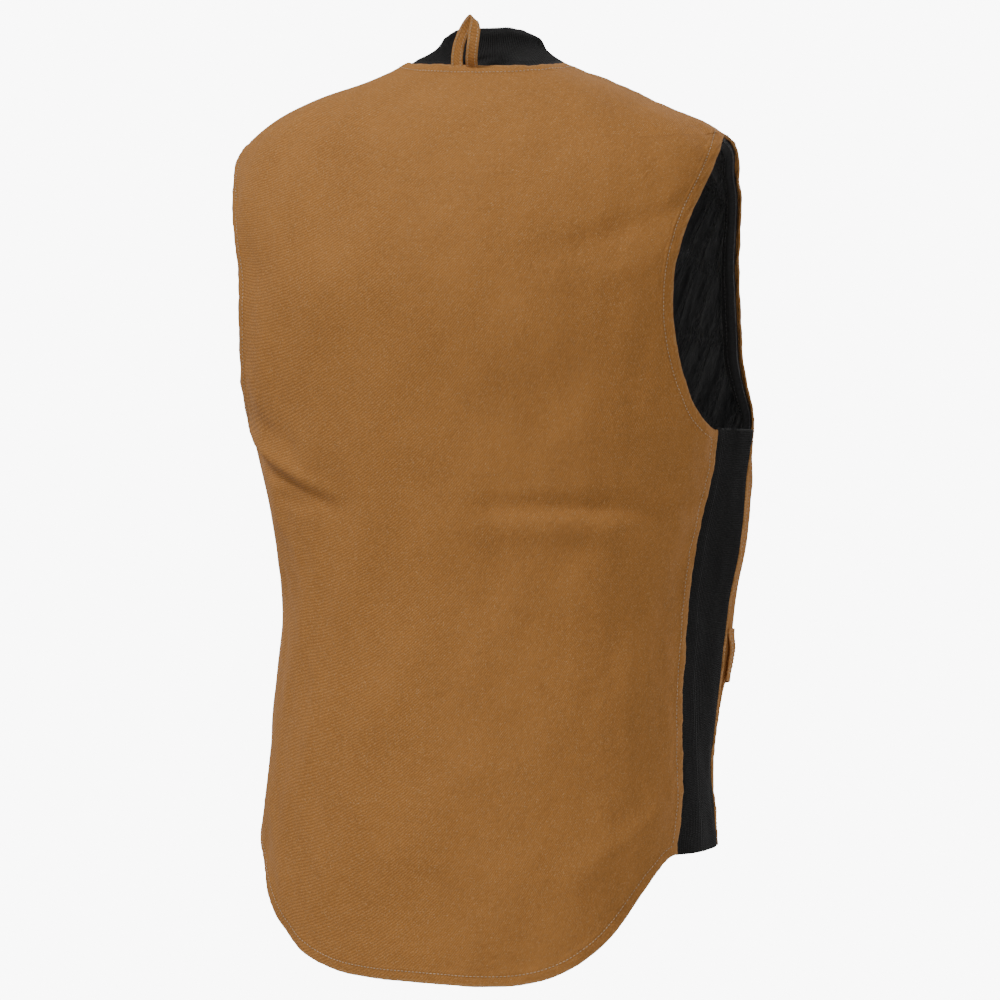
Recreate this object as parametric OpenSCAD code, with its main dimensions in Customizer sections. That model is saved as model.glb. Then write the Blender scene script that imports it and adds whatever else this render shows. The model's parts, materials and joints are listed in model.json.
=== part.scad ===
// Work vest: duck shell, quilted lining, rib-knit collar and side panels,
// separating front zip, flap pockets and hanger loop. Millimetres, +Z up.
// +X is the wearer's left and +Y the back. The origin lies midway between the
// two high shoulder points, so the whole garment hangs below z = 0 except the
// collar and the loop.

/* [Widths] */
// Half width between the high shoulder points
neck_half = 74; // [66:1:84]
// Half width at the shoulder tips
shoulder_half = 212; // [180:1:240]
// Half width at the chest
chest_half = 222; // [190:1:266]
// Half width at the underarm
underarm_half = 205; // [178:1:240]
// Half width at the waist
waist_half = 181; // [155:1:225]
// Half width at the side hem
hem_half = 187; // [160:1:235]

/* [Depths] */
// From the neck points back to the back neck seam
neck_back = 48; // [40:1:60]
// From the neck points back to the back at shoulder height
shoulder_back = 92; // [75:1:110]
// From the neck points back to the shoulder blades
chest_back = 126; // [105:1:150]
// From the neck points back to the hollow of the waist
waist_back = 113; // [95:1:136]
// From the neck points back to the seat
hem_back = 126; // [105:1:150]
// From the neck points forward at neck height
neck_front = 52; // [44:1:62]
// From the neck points forward at shoulder height
shoulder_front = 92; // [76:1:100]
// From the neck points forward to the top of the zip
zip_top_front = 103; // [96:1:124]
// From the neck points forward to the zip at the hem
hem_front = 150; // [125:1:180]

/* [Lengths] */
// Drop of the shoulder tip below the neck point
shoulder_drop = 62; // [52:1:74]
// Drop of the back neck seam at its centre
back_neck_drop = 8; // [5:1:20]
// Drop of the front neck seam at its centre
front_neck_drop = 95; // [80:1:114]
// Drop of the widest chest level
chest_drop = 180; // [150:1:216]
// Drop of the underarm
underarm_drop = 304; // [260:1:350]
// Drop of the waist
waist_drop = 450; // [400:1:520]
// Drop of the hem at the side seams and in front
side_drop = 638; // [560:1:765]
// Extra drop of the tail at the centre back
tail_drop = 105; // [40:1:126]

/* [Panels] */
// How far the back edge of an armhole cuts in, in degrees round the body
armhole_back = 31; // [24:1:37]
// How far the front edge of an armhole cuts in, in degrees round the body
armhole_front = 31; // [24:1:37]
// Angle of the side seam at the underarm, from the centre back
seam_top_angle = 87; // [82:1:90]
// Angle of the side seam at the hem, from the centre back
seam_hem_angle = 76; // [70:1:84]
// Angle of the front edge of the rib panel at the underarm
rib_top_angle = 112; // [106:1:116]
// Angle of the front edge of the rib panel at the hem
rib_hem_angle = 107; // [100:1:114]

/* [Cloth] */
// Thickness of the duck shell with its seam allowance
shell_t = 1.4; // [0.8:0.1:2]
// Thickness of the quilted lining
lining_t = 5; // [3:0.5:8]
// Thickness of the rib knit
rib_t = 3; // [2:0.25:5]
// How far the lining stops short of the hem
hem_turn = 24; // [12:1:36]
// Width of the armhole binding
binding_w = 14; // [9:1:20]

/* [Collar] */
// Height of the collar above the neck seam at the sides
collar_rise = 26; // [18:1:40]
// Half width of the collar's top edge
collar_top_half = 40; // [34:1:56]
// From the neck points back to the collar's top edge
collar_top_back = 27; // [20:1:40]
// From the neck points forward to the collar's top edge
collar_top_front = 76; // [64:1:90]

/* [Zip] */
// Gap between the two rows of teeth with the vest unzipped
zip_gap = 11; // [9:0.5:16]
// Spacing of the teeth
tooth_pitch = 4; // [3.5:0.5:6]
// Reach of a tooth across the chain
tooth_w = 5; // [4:0.5:6]
// Height of a tooth along the chain
tooth_h = 1.8; // [1:0.1:2.4]
// Thickness of a tooth through the tape
tooth_t = 4; // [3:0.2:5]
// Width of one zip tape
tape_w = 20; // [14:1:26]
// Thickness of the zip tape
tape_t = 1; // [0.6:0.1:1.4]
// Length of the slider
slider_h = 18; // [14:1:24]
// Length of the pull tab
pull_h = 34; // [24:1:44]

/* [Pockets] */
// Width of a lower pocket, in degrees round the body
pocket_span = 46; // [34:1:50]
// Height of a lower pocket
pocket_h = 150; // [110:5:160]
// Height of a lower pocket's flap
flap_h = 52; // [40:1:64]
// Drop of the top edge of the lower flaps
flap_drop = 466; // [388:1:476]
// Width of the chest pocket, in degrees round the body
chest_span = 22; // [16:1:27]
// Height of the chest pocket
chest_pocket_h = 118; // [90:2:126]
// Drop of the top edge of the chest flap
chest_flap_drop = 214; // [205:1:240]
// Radius of a snap's cap
snap_r = 7.5; // [6:0.5:9]

/* [Hanger loop] */
// Width of the loop's strip
loop_w = 10; // [8:0.5:12]
// Height of the loop above the neck seam
loop_h = 40; // [30:1:54]
// Clear gap between the loop's two legs
loop_gap = 6; // [5:0.5:9]

/* [Hidden] */
$fn = 32;

duck = "#a06e3c";
rib = "#1d1b1b";
quilt = "#101012";
brass = "#a3854a";

// Gap between pieces of one body, and between pieces that move apart
touch = 0.2;
clear = 0.3;
// Exponent of the body's rounded cross-sections
roundness = 2.3;

// Zip: the front edges hang on one straight line that leans in towards the neck
zip_slope = (hem_front - zip_top_front) / (side_drop - front_neck_drop);

// Body measures at each level: drop, half width, back depth
tail_end = side_drop + tail_drop;
body_levels = [
    [0, neck_half, neck_back],
    [shoulder_drop, shoulder_half, shoulder_back],
    [chest_drop, chest_half, chest_back],
    [underarm_drop, underarm_half, (chest_back + waist_back) / 2],
    [waist_drop, waist_half, waist_back],
    [side_drop, hem_half, hem_back],
    [tail_end + 20, hem_half + 2, hem_back],
];
// Front depth above the zip: drop, depth
neck_levels = [
    [0, neck_front],
    [shoulder_drop, shoulder_front],
    [front_neck_drop, zip_top_front],
    [chest_drop, front_line(chest_drop)],
];

// Zip parts
zip_lean = atan(zip_slope);
zip_foot = side_drop - 6;
chain_l = (zip_foot - front_neck_drop - 14) / cos(zip_lean);
tooth_x = (zip_gap + tooth_w) / 2;
tape_x = tooth_x - 1;
front_edge_x = tooth_x + tooth_w / 2 + 3.5;
facing_edge_x = tape_x + tape_w + 12;
// Depth of the tape's middle below the outside of the shell
tape_depth = shell_t + 2 * touch + tape_t / 2;
box_h = 9;
slider_w = tooth_x + tooth_w / 2 + 1 + (zip_gap / 2 - 2);
slider_x = tooth_x + tooth_w / 2 + 1 - slider_w / 2;
slider_t = tooth_t + 2 * clear + 3.2;
plate_t = 1.6;
// Ears on the slider and the pin between them that carries the pull tab
ear_t = 1.2;
eye_w = 5.6;
pin_r = 1;
pin_out = slider_t / 2 + 2.9;

// Layers of cloth, as depths below the outside of the shell
lining_in = shell_t + 5 * touch;
lining_out = lining_in + lining_t;
facing_in = tape_depth + tape_t / 2 + touch;
pocket_out = -(touch + shell_t);
flap_lift = -pocket_out + 1.6;

// ---- body form -------------------------------------------------------------

function front_line(drop) = zip_top_front + (drop - front_neck_drop) * zip_slope;

function level_slope(levels, k, i) =
    let (lo = max(i - 1, 0), hi = min(i + 1, len(levels) - 1))
    (levels[hi][k] - levels[lo][k]) / (levels[hi][0] - levels[lo][0]);

function level_above(levels, drop, i = 0) =
    i >= len(levels) - 2 || drop < levels[i + 1][0] ? i : level_above(levels, drop, i + 1);

// Smooth curve through column k of a table of levels
function measure(levels, drop, k) =
    let (i = level_above(levels, drop), h = levels[i + 1][0] - levels[i][0],
         t = (drop - levels[i][0]) / h, y0 = levels[i][k], y1 = levels[i + 1][k],
         m0 = level_slope(levels, k, i) * h, m1 = level_slope(levels, k, i + 1) * h)
    y0 + t * m0 + t * t * (3 * (y1 - y0) - 2 * m0 - m1) + pow(t, 3) * (2 * (y0 - y1) + m0 + m1);

function half_width(drop) = measure(body_levels, drop, 1);
function back_depth(drop) = measure(body_levels, drop, 2);
function front_depth(drop) =
    drop > front_neck_drop ? front_line(drop) : measure(neck_levels, drop, 1);

function rounded(c) = sign(c) * pow(abs(c), 2 / roundness);

// Point of the shell's outside: a is the angle round the body from the centre
// back towards the wearer's left, and z the height
function form(a, z) =
    let (drop = max(-z, 0))
    [half_width(drop) * rounded(sin(a)),
     (cos(a) > 0 ? back_depth(drop) : front_depth(drop)) * rounded(cos(a)), -drop];

function unit(v) = v / norm(v);

function outward(a, z) =
    unit(cross(form(a, z + 1) - form(a, z - 1), form(a + 1, z) - form(a - 1, z)));

// Point at a depth below the shell's outside
function skin(a, z, depth) = form(a, z) - depth * outward(a, z);

// Angle at which the front reaches a distance x from the centre line
function angle_at_x(x, z) = 180 - asin(pow(x / half_width(-z), roundness / 2));

function mix(a, b, t) = a + (b - a) * t;
function ease(t) = t * t * (3 - 2 * t);

// ---- panel outlines --------------------------------------------------------
// v runs down a panel's side: 0 neck, 1 shoulder tip, 2 underarm, 3 hem

// The neck seam as [angle, height], at turn = 0 centre back .. 90 .. 180 centre front
function neck_drop(turn) =
    turn <= 90 ? back_neck_drop * cos(turn) : front_neck_drop * pow(sin(turn - 90), 1.2);
function neck_place(turn) =
    let (z = -neck_drop(turn))
    [turn <= 90 ? turn : angle_at_x(neck_half * pow(cos(turn - 90), 0.8), z), z];

function side_z(v) =
    v <= 1 ? -shoulder_drop * v
    : v <= 2 ? -(shoulder_drop + underarm_drop) / 2
               + (underarm_drop - shoulder_drop) / 2 * cos(180 * (v - 1))
    : mix(-underarm_drop, -side_drop, v - 2);

function back_edge(v) =
    v <= 1 ? 90
    : v <= 2 ? 90 - armhole_back * sin(180 * (v - 1)) - (90 - seam_top_angle) * (v - 1)
    : mix(seam_top_angle, seam_hem_angle, pow(v - 2, 1.7));

function front_edge(v) =
    v <= 1 ? 90
    : v <= 2 ? 90 + armhole_front * sin(180 * (v - 1)) + (rib_top_angle - 90) * pow(v - 1, 4)
    : mix(rib_top_angle, rib_hem_angle, v - 2);

function hem_z(a) =
    -side_drop - tail_drop * ease(1 - pow(min(abs(a) / seam_hem_angle, 1), 1.75));

// Heights of a back panel's column at s = -1 .. 1, short of its edges by inset
function back_z(v, s, inset) =
    v <= 1 ? mix(-neck_drop(abs(90 * s)) - inset / 3, -shoulder_drop, v)
    : v <= 2 ? side_z(v)
    : mix(-underarm_drop, hem_z(s * seam_hem_angle) + inset, v - 2);

// Heights of a front panel's column at s = 0 (side) .. 1 (centre)
function front_row1(s) = mix(-shoulder_drop, -front_neck_drop - 70, pow(s, 1.3));
function down_armhole(v) = (side_z(v) + shoulder_drop) / (shoulder_drop - underarm_drop);
function front_z(v, s, inset) =
    v <= 1 ? mix(-neck_drop(90 + 90 * s) - inset / 3, front_row1(s), v)
    : v <= 2 ? mix(front_row1(s), -underarm_drop, mix(down_armhole(v), v - 1, ease(s)))
    : mix(-underarm_drop, -side_drop + inset, v - 2);

function rows_to(last, fine = 5) = [
    for (i = [0:fine]) i / fine,
    for (i = [1:2 * fine]) 1 + i / (2 * fine),
    for (i = [1:2 * fine]) 2 + i / (2 * fine) * (last - 2),
];

// ---- cloth builders --------------------------------------------------------

// Closed solid between two equal grids of points, given as rows of columns
module cloth(outer, inner) {
    rows = len(outer);
    cols = len(outer[0]);
    n = rows * cols;
    function at(side, i, j) = side * n + i * cols + j;
    polyhedron(
        points = [for (grid = [outer, inner]) for (row = grid) each row],
        faces = [
            for (i = [0:rows - 2]) for (j = [0:cols - 2]) each [
                [at(0, i, j), at(0, i + 1, j), at(0, i + 1, j + 1)],
                [at(0, i, j), at(0, i + 1, j + 1), at(0, i, j + 1)],
                [at(1, i, j), at(1, i + 1, j + 1), at(1, i + 1, j)],
                [at(1, i, j), at(1, i, j + 1), at(1, i + 1, j + 1)],
            ],
            for (i = [0:rows - 2]) each [
                [at(0, i, 0), at(1, i, 0), at(1, i + 1, 0), at(0, i + 1, 0)],
                [at(0, i, cols - 1), at(0, i + 1, cols - 1), at(1, i + 1, cols - 1), at(1, i, cols - 1)],
            ],
            for (j = [0:cols - 2]) each [
                [at(0, 0, j), at(0, 0, j + 1), at(1, 0, j + 1), at(1, 0, j)],
                [at(0, rows - 1, j), at(1, rows - 1, j), at(1, rows - 1, j + 1), at(0, rows - 1, j + 1)],
            ],
        ],
        convexity = 8);
}

// Cloth that lies on the body form: places is a grid of [angle, height]
module on_form(places, from, to) {
    cloth([for (row = places) [for (p = row) skin(p[0], p[1], from)]],
          [for (row = places) [for (p = row) skin(p[0], p[1], to)]]);
}

// Grid of [angle, height] over a back or front panel; trim is in degrees
function back_places(cols, inset, trim) = [
    for (v = rows_to(3)) [
        for (j = [0:cols]) let (s = 2 * j / cols - 1)
            [s * (back_edge(v) - trim), back_z(v, s, inset)]
    ]
];

function front_places(cols, inset, trim, edge_x) = [
    for (v = rows_to(3)) [
        for (j = [0:cols]) let (s = j / cols, z = front_z(v, s, inset),
                                a = mix(front_edge(v) + trim, angle_at_x(edge_x, z), s))
            [v < 1 ? mix(min(neck_place(90 + 90 * s)[0], angle_at_x(edge_x, z)), a, v) : a, z]
    ]
];

module mirrored(side) {
    mirror([side < 0 ? 1 : 0, 0, 0]) children();
}

// Stands children on the form with +Z pointing outward
module standing_at(a, z, depth) {
    n = outward(a, z);
    translate(skin(a, z, depth))
        rotate([0, acos(n[2]), atan2(n[1], n[0])])
            children();
}

// ---- body ------------------------------------------------------------------

module back_panel() {
    color(duck) on_form(back_places(16, 0, 0), 0, shell_t);
}

module back_lining() {
    color(quilt) on_form(back_places(16, hem_turn, 1.2), lining_in, lining_out);
}

module side_rib(side) {
    seam = 0.35;
    color(rib) mirrored(side) on_form([
        for (i = [0:12]) let (v = 2 + i / 12) [
            for (j = [0:5])
                [mix(back_edge(v) + seam, front_edge(v) - seam, j / 5), side_z(v)]
        ]
    ], 0, rib_t);
}

module collar() {
    steps = 36;
    levels = 5;
    turn = 173;
    function base(a) =
        let (p = neck_place(abs(a))) form(sign(a) * p[0], p[1]) + [0, 0, clear];
    function top(a) =
        [collar_top_half * rounded(sin(a)),
         (cos(a) > 0 ? collar_top_back : collar_top_front) * rounded(cos(a)),
         -neck_drop(abs(a)) + collar_rise + 7 * abs(cos(a))];
    // The knit leans in low down and stands up towards its top edge
    function knit(a, t) =
        let (lean = 1 - pow(1 - t, 2), b = base(a), e = top(a))
        [mix(b[0], e[0], lean), mix(b[1], e[1], lean), mix(b[2], e[2], pow(t, 1.15))];
    function in(a, t) =
        let (u = knit(a + 1, t) - knit(a - 1, t), w = knit(a, t + 0.02) - knit(a, t - 0.02))
        knit(a, t) - rib_t * 1.3 * unit(cross(w, u));
    angles = [for (i = [0:steps]) -turn + 2 * turn * i / steps];
    heights = [for (k = [levels:-1:0]) mix(0.02, 0.98, k / levels)];
    color(rib) cloth([for (t = heights) [for (a = angles) knit(a, t)]],
                     [for (t = heights) [for (a = angles) in(a, t)]]);
}

// Strip along the inside of an armhole edge, from the shoulder to the underarm
module armhole_binding(side, front) {
    outline = [for (i = [0:14]) 1.06 + 0.9 * i / 14];
    reach = binding_w / 3.4;
    color(rib) mirrored(side) on_form([
        for (v = outline) [
            for (j = [0:2]) let (out = reach * sin(180 * (v - 1)) * j / 2)
                front ? [front_edge(v) + out + 0.4, side_z(v)]
                      : [back_edge(v) - reach * sin(180 * (v - 1)) + out - 0.4, side_z(v)]
        ]
    ], lining_out + 9 * touch, lining_out + 9 * touch + 1.2);
}

module back_neck_tape() {
    color(quilt) on_form([
        for (i = [0:1]) [
            for (j = [0:16]) let (a = mix(-70, 70, j / 16)) [a, -neck_drop(abs(a)) - 3 - 12 * i]
        ]
    ], lining_out + 2 * touch, lining_out + 2 * touch + 1);
}

module blank_label() {
    color(duck) on_form([
        for (i = [0:3]) [for (j = [0:3]) [mix(-9, 9, j / 3), -back_neck_drop - 18 - 12 * i]]
    ], lining_out + 4 * touch, lining_out + 4 * touch + 0.8);
}

// Strip that rises from the neck seam, folds over and returns beside itself
module hanger_loop() {
    t = 1.2;
    seat = form(0, -back_neck_drop)[1] + t / 2 + clear;
    foot = -back_neck_drop - clear;
    bow = loop_gap + t;
    // Points along the strip: across, back, up, and the strip's tilt
    route = [
        [1.5, 0, 0, 0], [1, 0, 0.3, 0], [0, 0, 0.6, -6], [-2, bow * 0.1, 0.88, -24],
        [-4, bow / 2, 1, -40], [-6, bow * 0.9, 0.88, -30], [-7.5, bow, 0.62, -10],
        [-8.5, bow, 0.36, 0], [-9.3, bow * 0.66, 0.12, 0], [-9.6, bow * 0.22, 0.01, 0],
    ];
    function place(p) = [p[0], seat + p[1], foot + p[2] * loop_h];
    function across(p) = loop_w / 2 * [cos(p[3]), 0, sin(p[3])];
    centre = [for (p = route) place(p)];
    ahead = [for (i = [0:len(route) - 1])
        unit(centre[min(i + 1, len(route) - 1)] - centre[max(i - 1, 0)])];
    function face(side) = [for (i = [0:len(route) - 1])
        let (p = route[i], n = unit(cross(ahead[i], across(p))))
        [centre[i] - across(p) + side * t / 2 * n, centre[i] + across(p) + side * t / 2 * n]];
    color(duck) cloth(face(-1), face(1));
}

// ---- fronts ----------------------------------------------------------------

module front_panel(side) {
    color(duck) mirrored(side) on_form(front_places(10, 0, 0.3, front_edge_x), 0, shell_t);
}

module front_lining(side) {
    color(quilt) mirrored(side)
        on_form(front_places(10, hem_turn, 1.2, facing_edge_x), lining_in, lining_out);
}

// Upright strip between two distances from the centre line
module front_strip(side, x0, x1, top, foot, from, to, cols = 2) {
    mirrored(side) on_form([
        for (i = [0:16]) let (z = -mix(top, foot, i / 16)) [
            for (j = [0:cols]) [angle_at_x(mix(x1, x0, j / cols), z), z]
        ]
    ], from, to);
}

module front_facing(side) {
    color(duck) front_strip(side, front_edge_x, facing_edge_x - touch,
        front_neck_drop + 3, side_drop - 2, facing_in, facing_in + shell_t, 3);
}

module zip_tape(side) {
    color(quilt) front_strip(side, tape_x, tape_x + tape_w,
        front_neck_drop + 4, side_drop - 3, tape_depth - tape_t / 2, tape_depth + tape_t / 2);
}

// Stands children on the zip line, up from its foot, with the tape in the XZ plane
module on_zip(up) {
    translate([0, -front_line(zip_foot), -zip_foot])
        rotate([-zip_lean, 0, 0])
            translate([0, tape_depth, up])
                children();
}

// Room for the edge of the tape in what clamps it, seen from the middle of the chain
module tape_slot(h) {
    w = 2 * tooth_w;
    translate([tape_x - tooth_x - touch + w / 2, 0, 0])
        cube([w, tape_t + touch, h + 1], center = true);
}

module tooth() {
    difference() {
        cube([tooth_w, tooth_t, tooth_h], center = true);
        tape_slot(tooth_h);
    }
}

module zip_teeth(side) {
    count = floor((chain_l - box_h - 8) / tooth_pitch);
    color(brass) mirrored(side)
        for (i = [0:count - 1])
            on_zip(box_h + 2 + (i + (side > 0 ? 0 : 0.5)) * tooth_pitch)
                translate([tooth_x, 0, 0])
                    tooth();
}

module top_stop(side) {
    color(brass) mirrored(side) on_zip(chain_l - 1)
        translate([tooth_x, 0, 0])
            difference() {
                cube([tooth_w - 1, tooth_t + 0.6, 5], center = true);
                tape_slot(5);
            }
}

// Box at the foot of the left chain, open to the centre for the pin
module zip_retainer_box() {
    w = tooth_w + 1.5;
    color(brass) on_zip(box_h / 2)
        translate([tooth_x - 0.5, 0, 0])
            difference() {
                cube([w, tooth_t + 0.6, box_h - 1], center = true);
                translate([0.5, 0, 0])
                    tape_slot(box_h);
                translate([-w / 2, 0, 1.5])
                    cube([3, tooth_t - 1.4, box_h], center = true);
            }
}

module zip_insertion_pin() {
    color(brass) mirrored(-1) on_zip(box_h / 2 + 0.5)
        translate([tooth_x - 1, 0, 0])
            difference() {
                cube([3, tooth_t - 1.8, box_h + 1], center = true);
                translate([1, 0, 0])
                    tape_slot(box_h + 1);
            }
}

module zip_slider() {
    post_w = 2.4;
    flange = 0.9;
    inner_t = slider_t - 2 * plate_t;
    color(brass) on_zip(box_h + slider_h / 2 + 0.5)
        translate([slider_x, 0, 0]) {
            difference() {
                cube([slider_w, slider_t, slider_h], center = true);
                cube([slider_w - 2 * flange, inner_t, slider_h + 1], center = true);
                cube([slider_w + 1, tape_t + 2 * clear, slider_h + 1], center = true);
                for (sx = [-1, 1])
                    translate([sx * slider_w / 2, 0, -slider_h / 2])
                        rotate([0, 45, 0])
                            cube([3, slider_t + 1, 3], center = true);
            }
            // Post that parts the two chains
            translate([tooth_x - tooth_w / 2 - clear - post_w / 2 - slider_x, 0, slider_h / 4])
                cube([post_w, inner_t + 0.2, slider_h / 3], center = true);
            ear_x = eye_w / 2 + clear + ear_t / 2;
            ear_out = pin_out + pin_r + 0.6;
            for (sx = [-1, 1])
                translate([sx * ear_x, -(slider_t / 2 + ear_out) / 2 + 0.1, 0])
                    cube([ear_t, ear_out - slider_t / 2 + 0.2, 5], center = true);
            translate([0, -pin_out, 0])
                rotate([0, 90, 0])
                    cylinder(r = pin_r, h = 2 * ear_x, center = true);
        }
}

// Flat tab with an eye on the slider's pin and a finger hole at its foot
module zip_pull_tab() {
    w = 9;
    t = 1.6;
    eye_r = pin_r + clear + 0.8;
    hole_r = 2.2;
    foot = -pull_h + w / 2;
    color(brass) on_zip(box_h + slider_h / 2 + 0.5)
        translate([slider_x, -pin_out, 0])
            difference() {
                union() {
                    rotate([0, 90, 0])
                        cylinder(r = eye_r, h = eye_w, center = true);
                    translate([0, 0, -4])
                        cube([eye_w, t, 8], center = true);
                    translate([0, 0, (foot - 6) / 2])
                        cube([w, t, -foot - 6], center = true);
                    translate([0, 0, foot])
                        rotate([90, 0, 0])
                            cylinder(r = w / 2, h = t, center = true);
                }
                rotate([0, 90, 0])
                    cylinder(r = pin_r + clear, h = eye_w + 1, center = true);
                translate([0, 0, foot])
                    rotate([90, 0, 0])
                        cylinder(r = hole_r, h = t + 1, center = true);
            }
}

// ---- pockets ---------------------------------------------------------------

// Middle of a pocket, as an angle round the body
lower_mid = rib_top_angle + 4.5 + pocket_span / 2;
chest_mid = 152;

module pocket(side, mid, span, top, h) {
    round_off = 12;
    color(duck) mirrored(side) on_form([
        for (i = [0:6]) [
            for (j = [0:12]) let (s = 2 * j / 12 - 1)
                [mid + s * span / 2, -top - (h - round_off * pow(abs(s), 4)) * i / 6]
        ]
    ], pocket_out, -touch);
}

// Flap that is sewn flush above the pocket's mouth and stands clear of it below
module flap(side, mid, span, top, h) {
    point = 10;
    places = [
        for (i = [0:5]) [
            for (j = [0:8]) let (s = 2 * j / 8 - 1)
                [mid + s * span / 2, -top - (h - point * abs(s)) * i / 5]
        ]
    ];
    function lift(i, extra) = -mix(clear, flap_lift, min(i / 2, 1)) - extra;
    color(duck) mirrored(side) cloth(
        [for (i = [0:5]) [for (p = places[i]) skin(p[0], p[1], lift(i, shell_t))]],
        [for (i = [0:5]) [for (p = places[i]) skin(p[0], p[1], lift(i, 0))]]);
}

function snap_z(top, h) = -top - h + 15;

// Stud on the pocket, under the middle of the flap
module pocket_stud(side, mid, top, h) {
    color(brass) mirrored(side) standing_at(mid, snap_z(top, h), pocket_out - touch / 2)
        union() {
            cylinder(r = 4.5, h = 0.4);
            cylinder(r = 1.7, h = 1.2);
        }
}

// Cap outside the flap and socket ring inside it
module flap_snap(side, mid, top, h) {
    color(brass) mirrored(side) standing_at(mid, snap_z(top, h), -flap_lift) {
        translate([0, 0, shell_t + 0.1])
            rotate_extrude()
                polygon([[0, 0], [snap_r, 0], [snap_r, 0.7], [snap_r * 0.8, 1.5], [0, 1.9]]);
        translate([0, 0, -1])
            difference() {
                cylinder(r = 5.5, h = 0.7);
                translate([0, 0, -1])
                    cylinder(r = 2.4, h = 3);
            }
    }
}

pocket_gap = 12;
chest_flap_h = 40;

back_panel();
back_lining();
side_rib(1);  // left_side_rib
side_rib(-1);  // right_side_rib
collar();
armhole_binding(1, false);  // left_back_armhole_binding
armhole_binding(-1, false);  // right_back_armhole_binding
back_neck_tape();
blank_label();
hanger_loop();
front_panel(1);  // left_front_panel
front_lining(1);  // left_front_lining
front_facing(1);  // left_front_facing
armhole_binding(1, true);  // left_front_armhole_binding
zip_tape(1);  // left_zip_tape
zip_teeth(1);  // left_zip_teeth
top_stop(1);  // left_zip_top_stop
zip_retainer_box();
pocket(1, lower_mid, pocket_span, flap_drop + pocket_gap, pocket_h);  // left_pocket
pocket_stud(1, lower_mid, flap_drop, flap_h);  // left_pocket_stud
pocket(1, chest_mid, chest_span, chest_flap_drop + pocket_gap, chest_pocket_h);  // chest_pocket
pocket_stud(1, chest_mid, chest_flap_drop, chest_flap_h);  // chest_pocket_stud
front_panel(-1);  // right_front_panel
front_lining(-1);  // right_front_lining
front_facing(-1);  // right_front_facing
armhole_binding(-1, true);  // right_front_armhole_binding
zip_tape(-1);  // right_zip_tape
zip_teeth(-1);  // right_zip_teeth
top_stop(-1);  // right_zip_top_stop
zip_insertion_pin();
pocket(-1, lower_mid, pocket_span, flap_drop + pocket_gap, pocket_h);  // right_pocket
pocket_stud(-1, lower_mid, flap_drop, flap_h);  // right_pocket_stud
zip_slider();
zip_pull_tab();
flap(1, lower_mid, pocket_span + 4, flap_drop, flap_h);  // left_pocket_flap
flap_snap(1, lower_mid, flap_drop, flap_h);  // left_flap_snap
flap(-1, lower_mid, pocket_span + 4, flap_drop, flap_h);  // right_pocket_flap
flap_snap(-1, lower_mid, flap_drop, flap_h);  // right_flap_snap
flap(1, chest_mid, chest_span + 2, chest_flap_drop, chest_flap_h);  // chest_pocket_flap
flap_snap(1, chest_mid, chest_flap_drop, chest_flap_h);  // chest_flap_snap
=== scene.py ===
"""Work vest: duck shell, quilted lining, rib-knit collar and sides, zip, snap pockets and hanger loop."""
import json
import math

import bmesh
import bpy
import numpy as np
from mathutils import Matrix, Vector


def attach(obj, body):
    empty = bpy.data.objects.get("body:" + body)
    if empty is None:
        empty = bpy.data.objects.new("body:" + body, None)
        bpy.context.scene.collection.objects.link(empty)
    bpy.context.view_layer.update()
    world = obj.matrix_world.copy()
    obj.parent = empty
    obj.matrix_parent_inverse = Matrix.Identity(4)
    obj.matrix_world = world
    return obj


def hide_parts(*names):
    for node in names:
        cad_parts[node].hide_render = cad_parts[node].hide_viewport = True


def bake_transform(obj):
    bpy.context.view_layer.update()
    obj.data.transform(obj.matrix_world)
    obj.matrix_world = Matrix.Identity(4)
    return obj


bl_info = {
    "name": "Work vest",
    "version": (1, 0, 0),
    "blender": (4, 5, 0),
    "location": "View3D > Sidebar > Vest",
    "description": "Builds a duck-canvas work vest on its packed frame",
    "category": "Add Mesh",
}

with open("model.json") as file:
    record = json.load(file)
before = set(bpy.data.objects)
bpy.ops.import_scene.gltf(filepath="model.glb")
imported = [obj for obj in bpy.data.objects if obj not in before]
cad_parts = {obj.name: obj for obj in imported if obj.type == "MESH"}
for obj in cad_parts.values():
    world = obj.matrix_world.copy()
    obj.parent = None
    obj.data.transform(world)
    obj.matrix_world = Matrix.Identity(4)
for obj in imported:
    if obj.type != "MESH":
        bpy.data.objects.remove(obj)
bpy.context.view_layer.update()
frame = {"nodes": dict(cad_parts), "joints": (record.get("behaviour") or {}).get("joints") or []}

# ---- the body form, in millimetres and degrees -------------------------------

NECK_HALF, SHOULDER_HALF, CHEST_HALF = 74.0, 212.0, 222.0
SHOULDER_DROP = 62.0
BACK_NECK_DROP = 8.0
FRONT_NECK_DROP = 95.0
CHEST_DROP = 180.0
UNDERARM_DROP = 304.0
SIDE_DROP = 638.0
TAIL_DROP = 105.0
ARMHOLE_CUT = 31.0
SEAM_TOP, SEAM_HEM = 87.0, 76.0
RIB_TOP, RIB_HEM = 112.0, 107.0
ROUNDNESS = 2.3
ZIP_TOP_FRONT, HEM_FRONT = 103.0, 150.0
ZIP_SLOPE = (HEM_FRONT - ZIP_TOP_FRONT) / (SIDE_DROP - FRONT_NECK_DROP)
# drop, half width, back depth
BODY = np.array([
    [0, NECK_HALF, 48],
    [SHOULDER_DROP, SHOULDER_HALF, 92],
    [CHEST_DROP, CHEST_HALF, 126],
    [UNDERARM_DROP, 205, 119.5],
    [450, 181, 113],
    [SIDE_DROP, 187, 126],
    [SIDE_DROP + TAIL_DROP + 20, 189, 126],
], float)
# drop, front depth above the zip
NECK = np.array([
    [0, 52],
    [SHOULDER_DROP, 92],
    [FRONT_NECK_DROP, ZIP_TOP_FRONT],
    [CHEST_DROP, ZIP_TOP_FRONT + (CHEST_DROP - FRONT_NECK_DROP) * ZIP_SLOPE],
], float)

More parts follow.
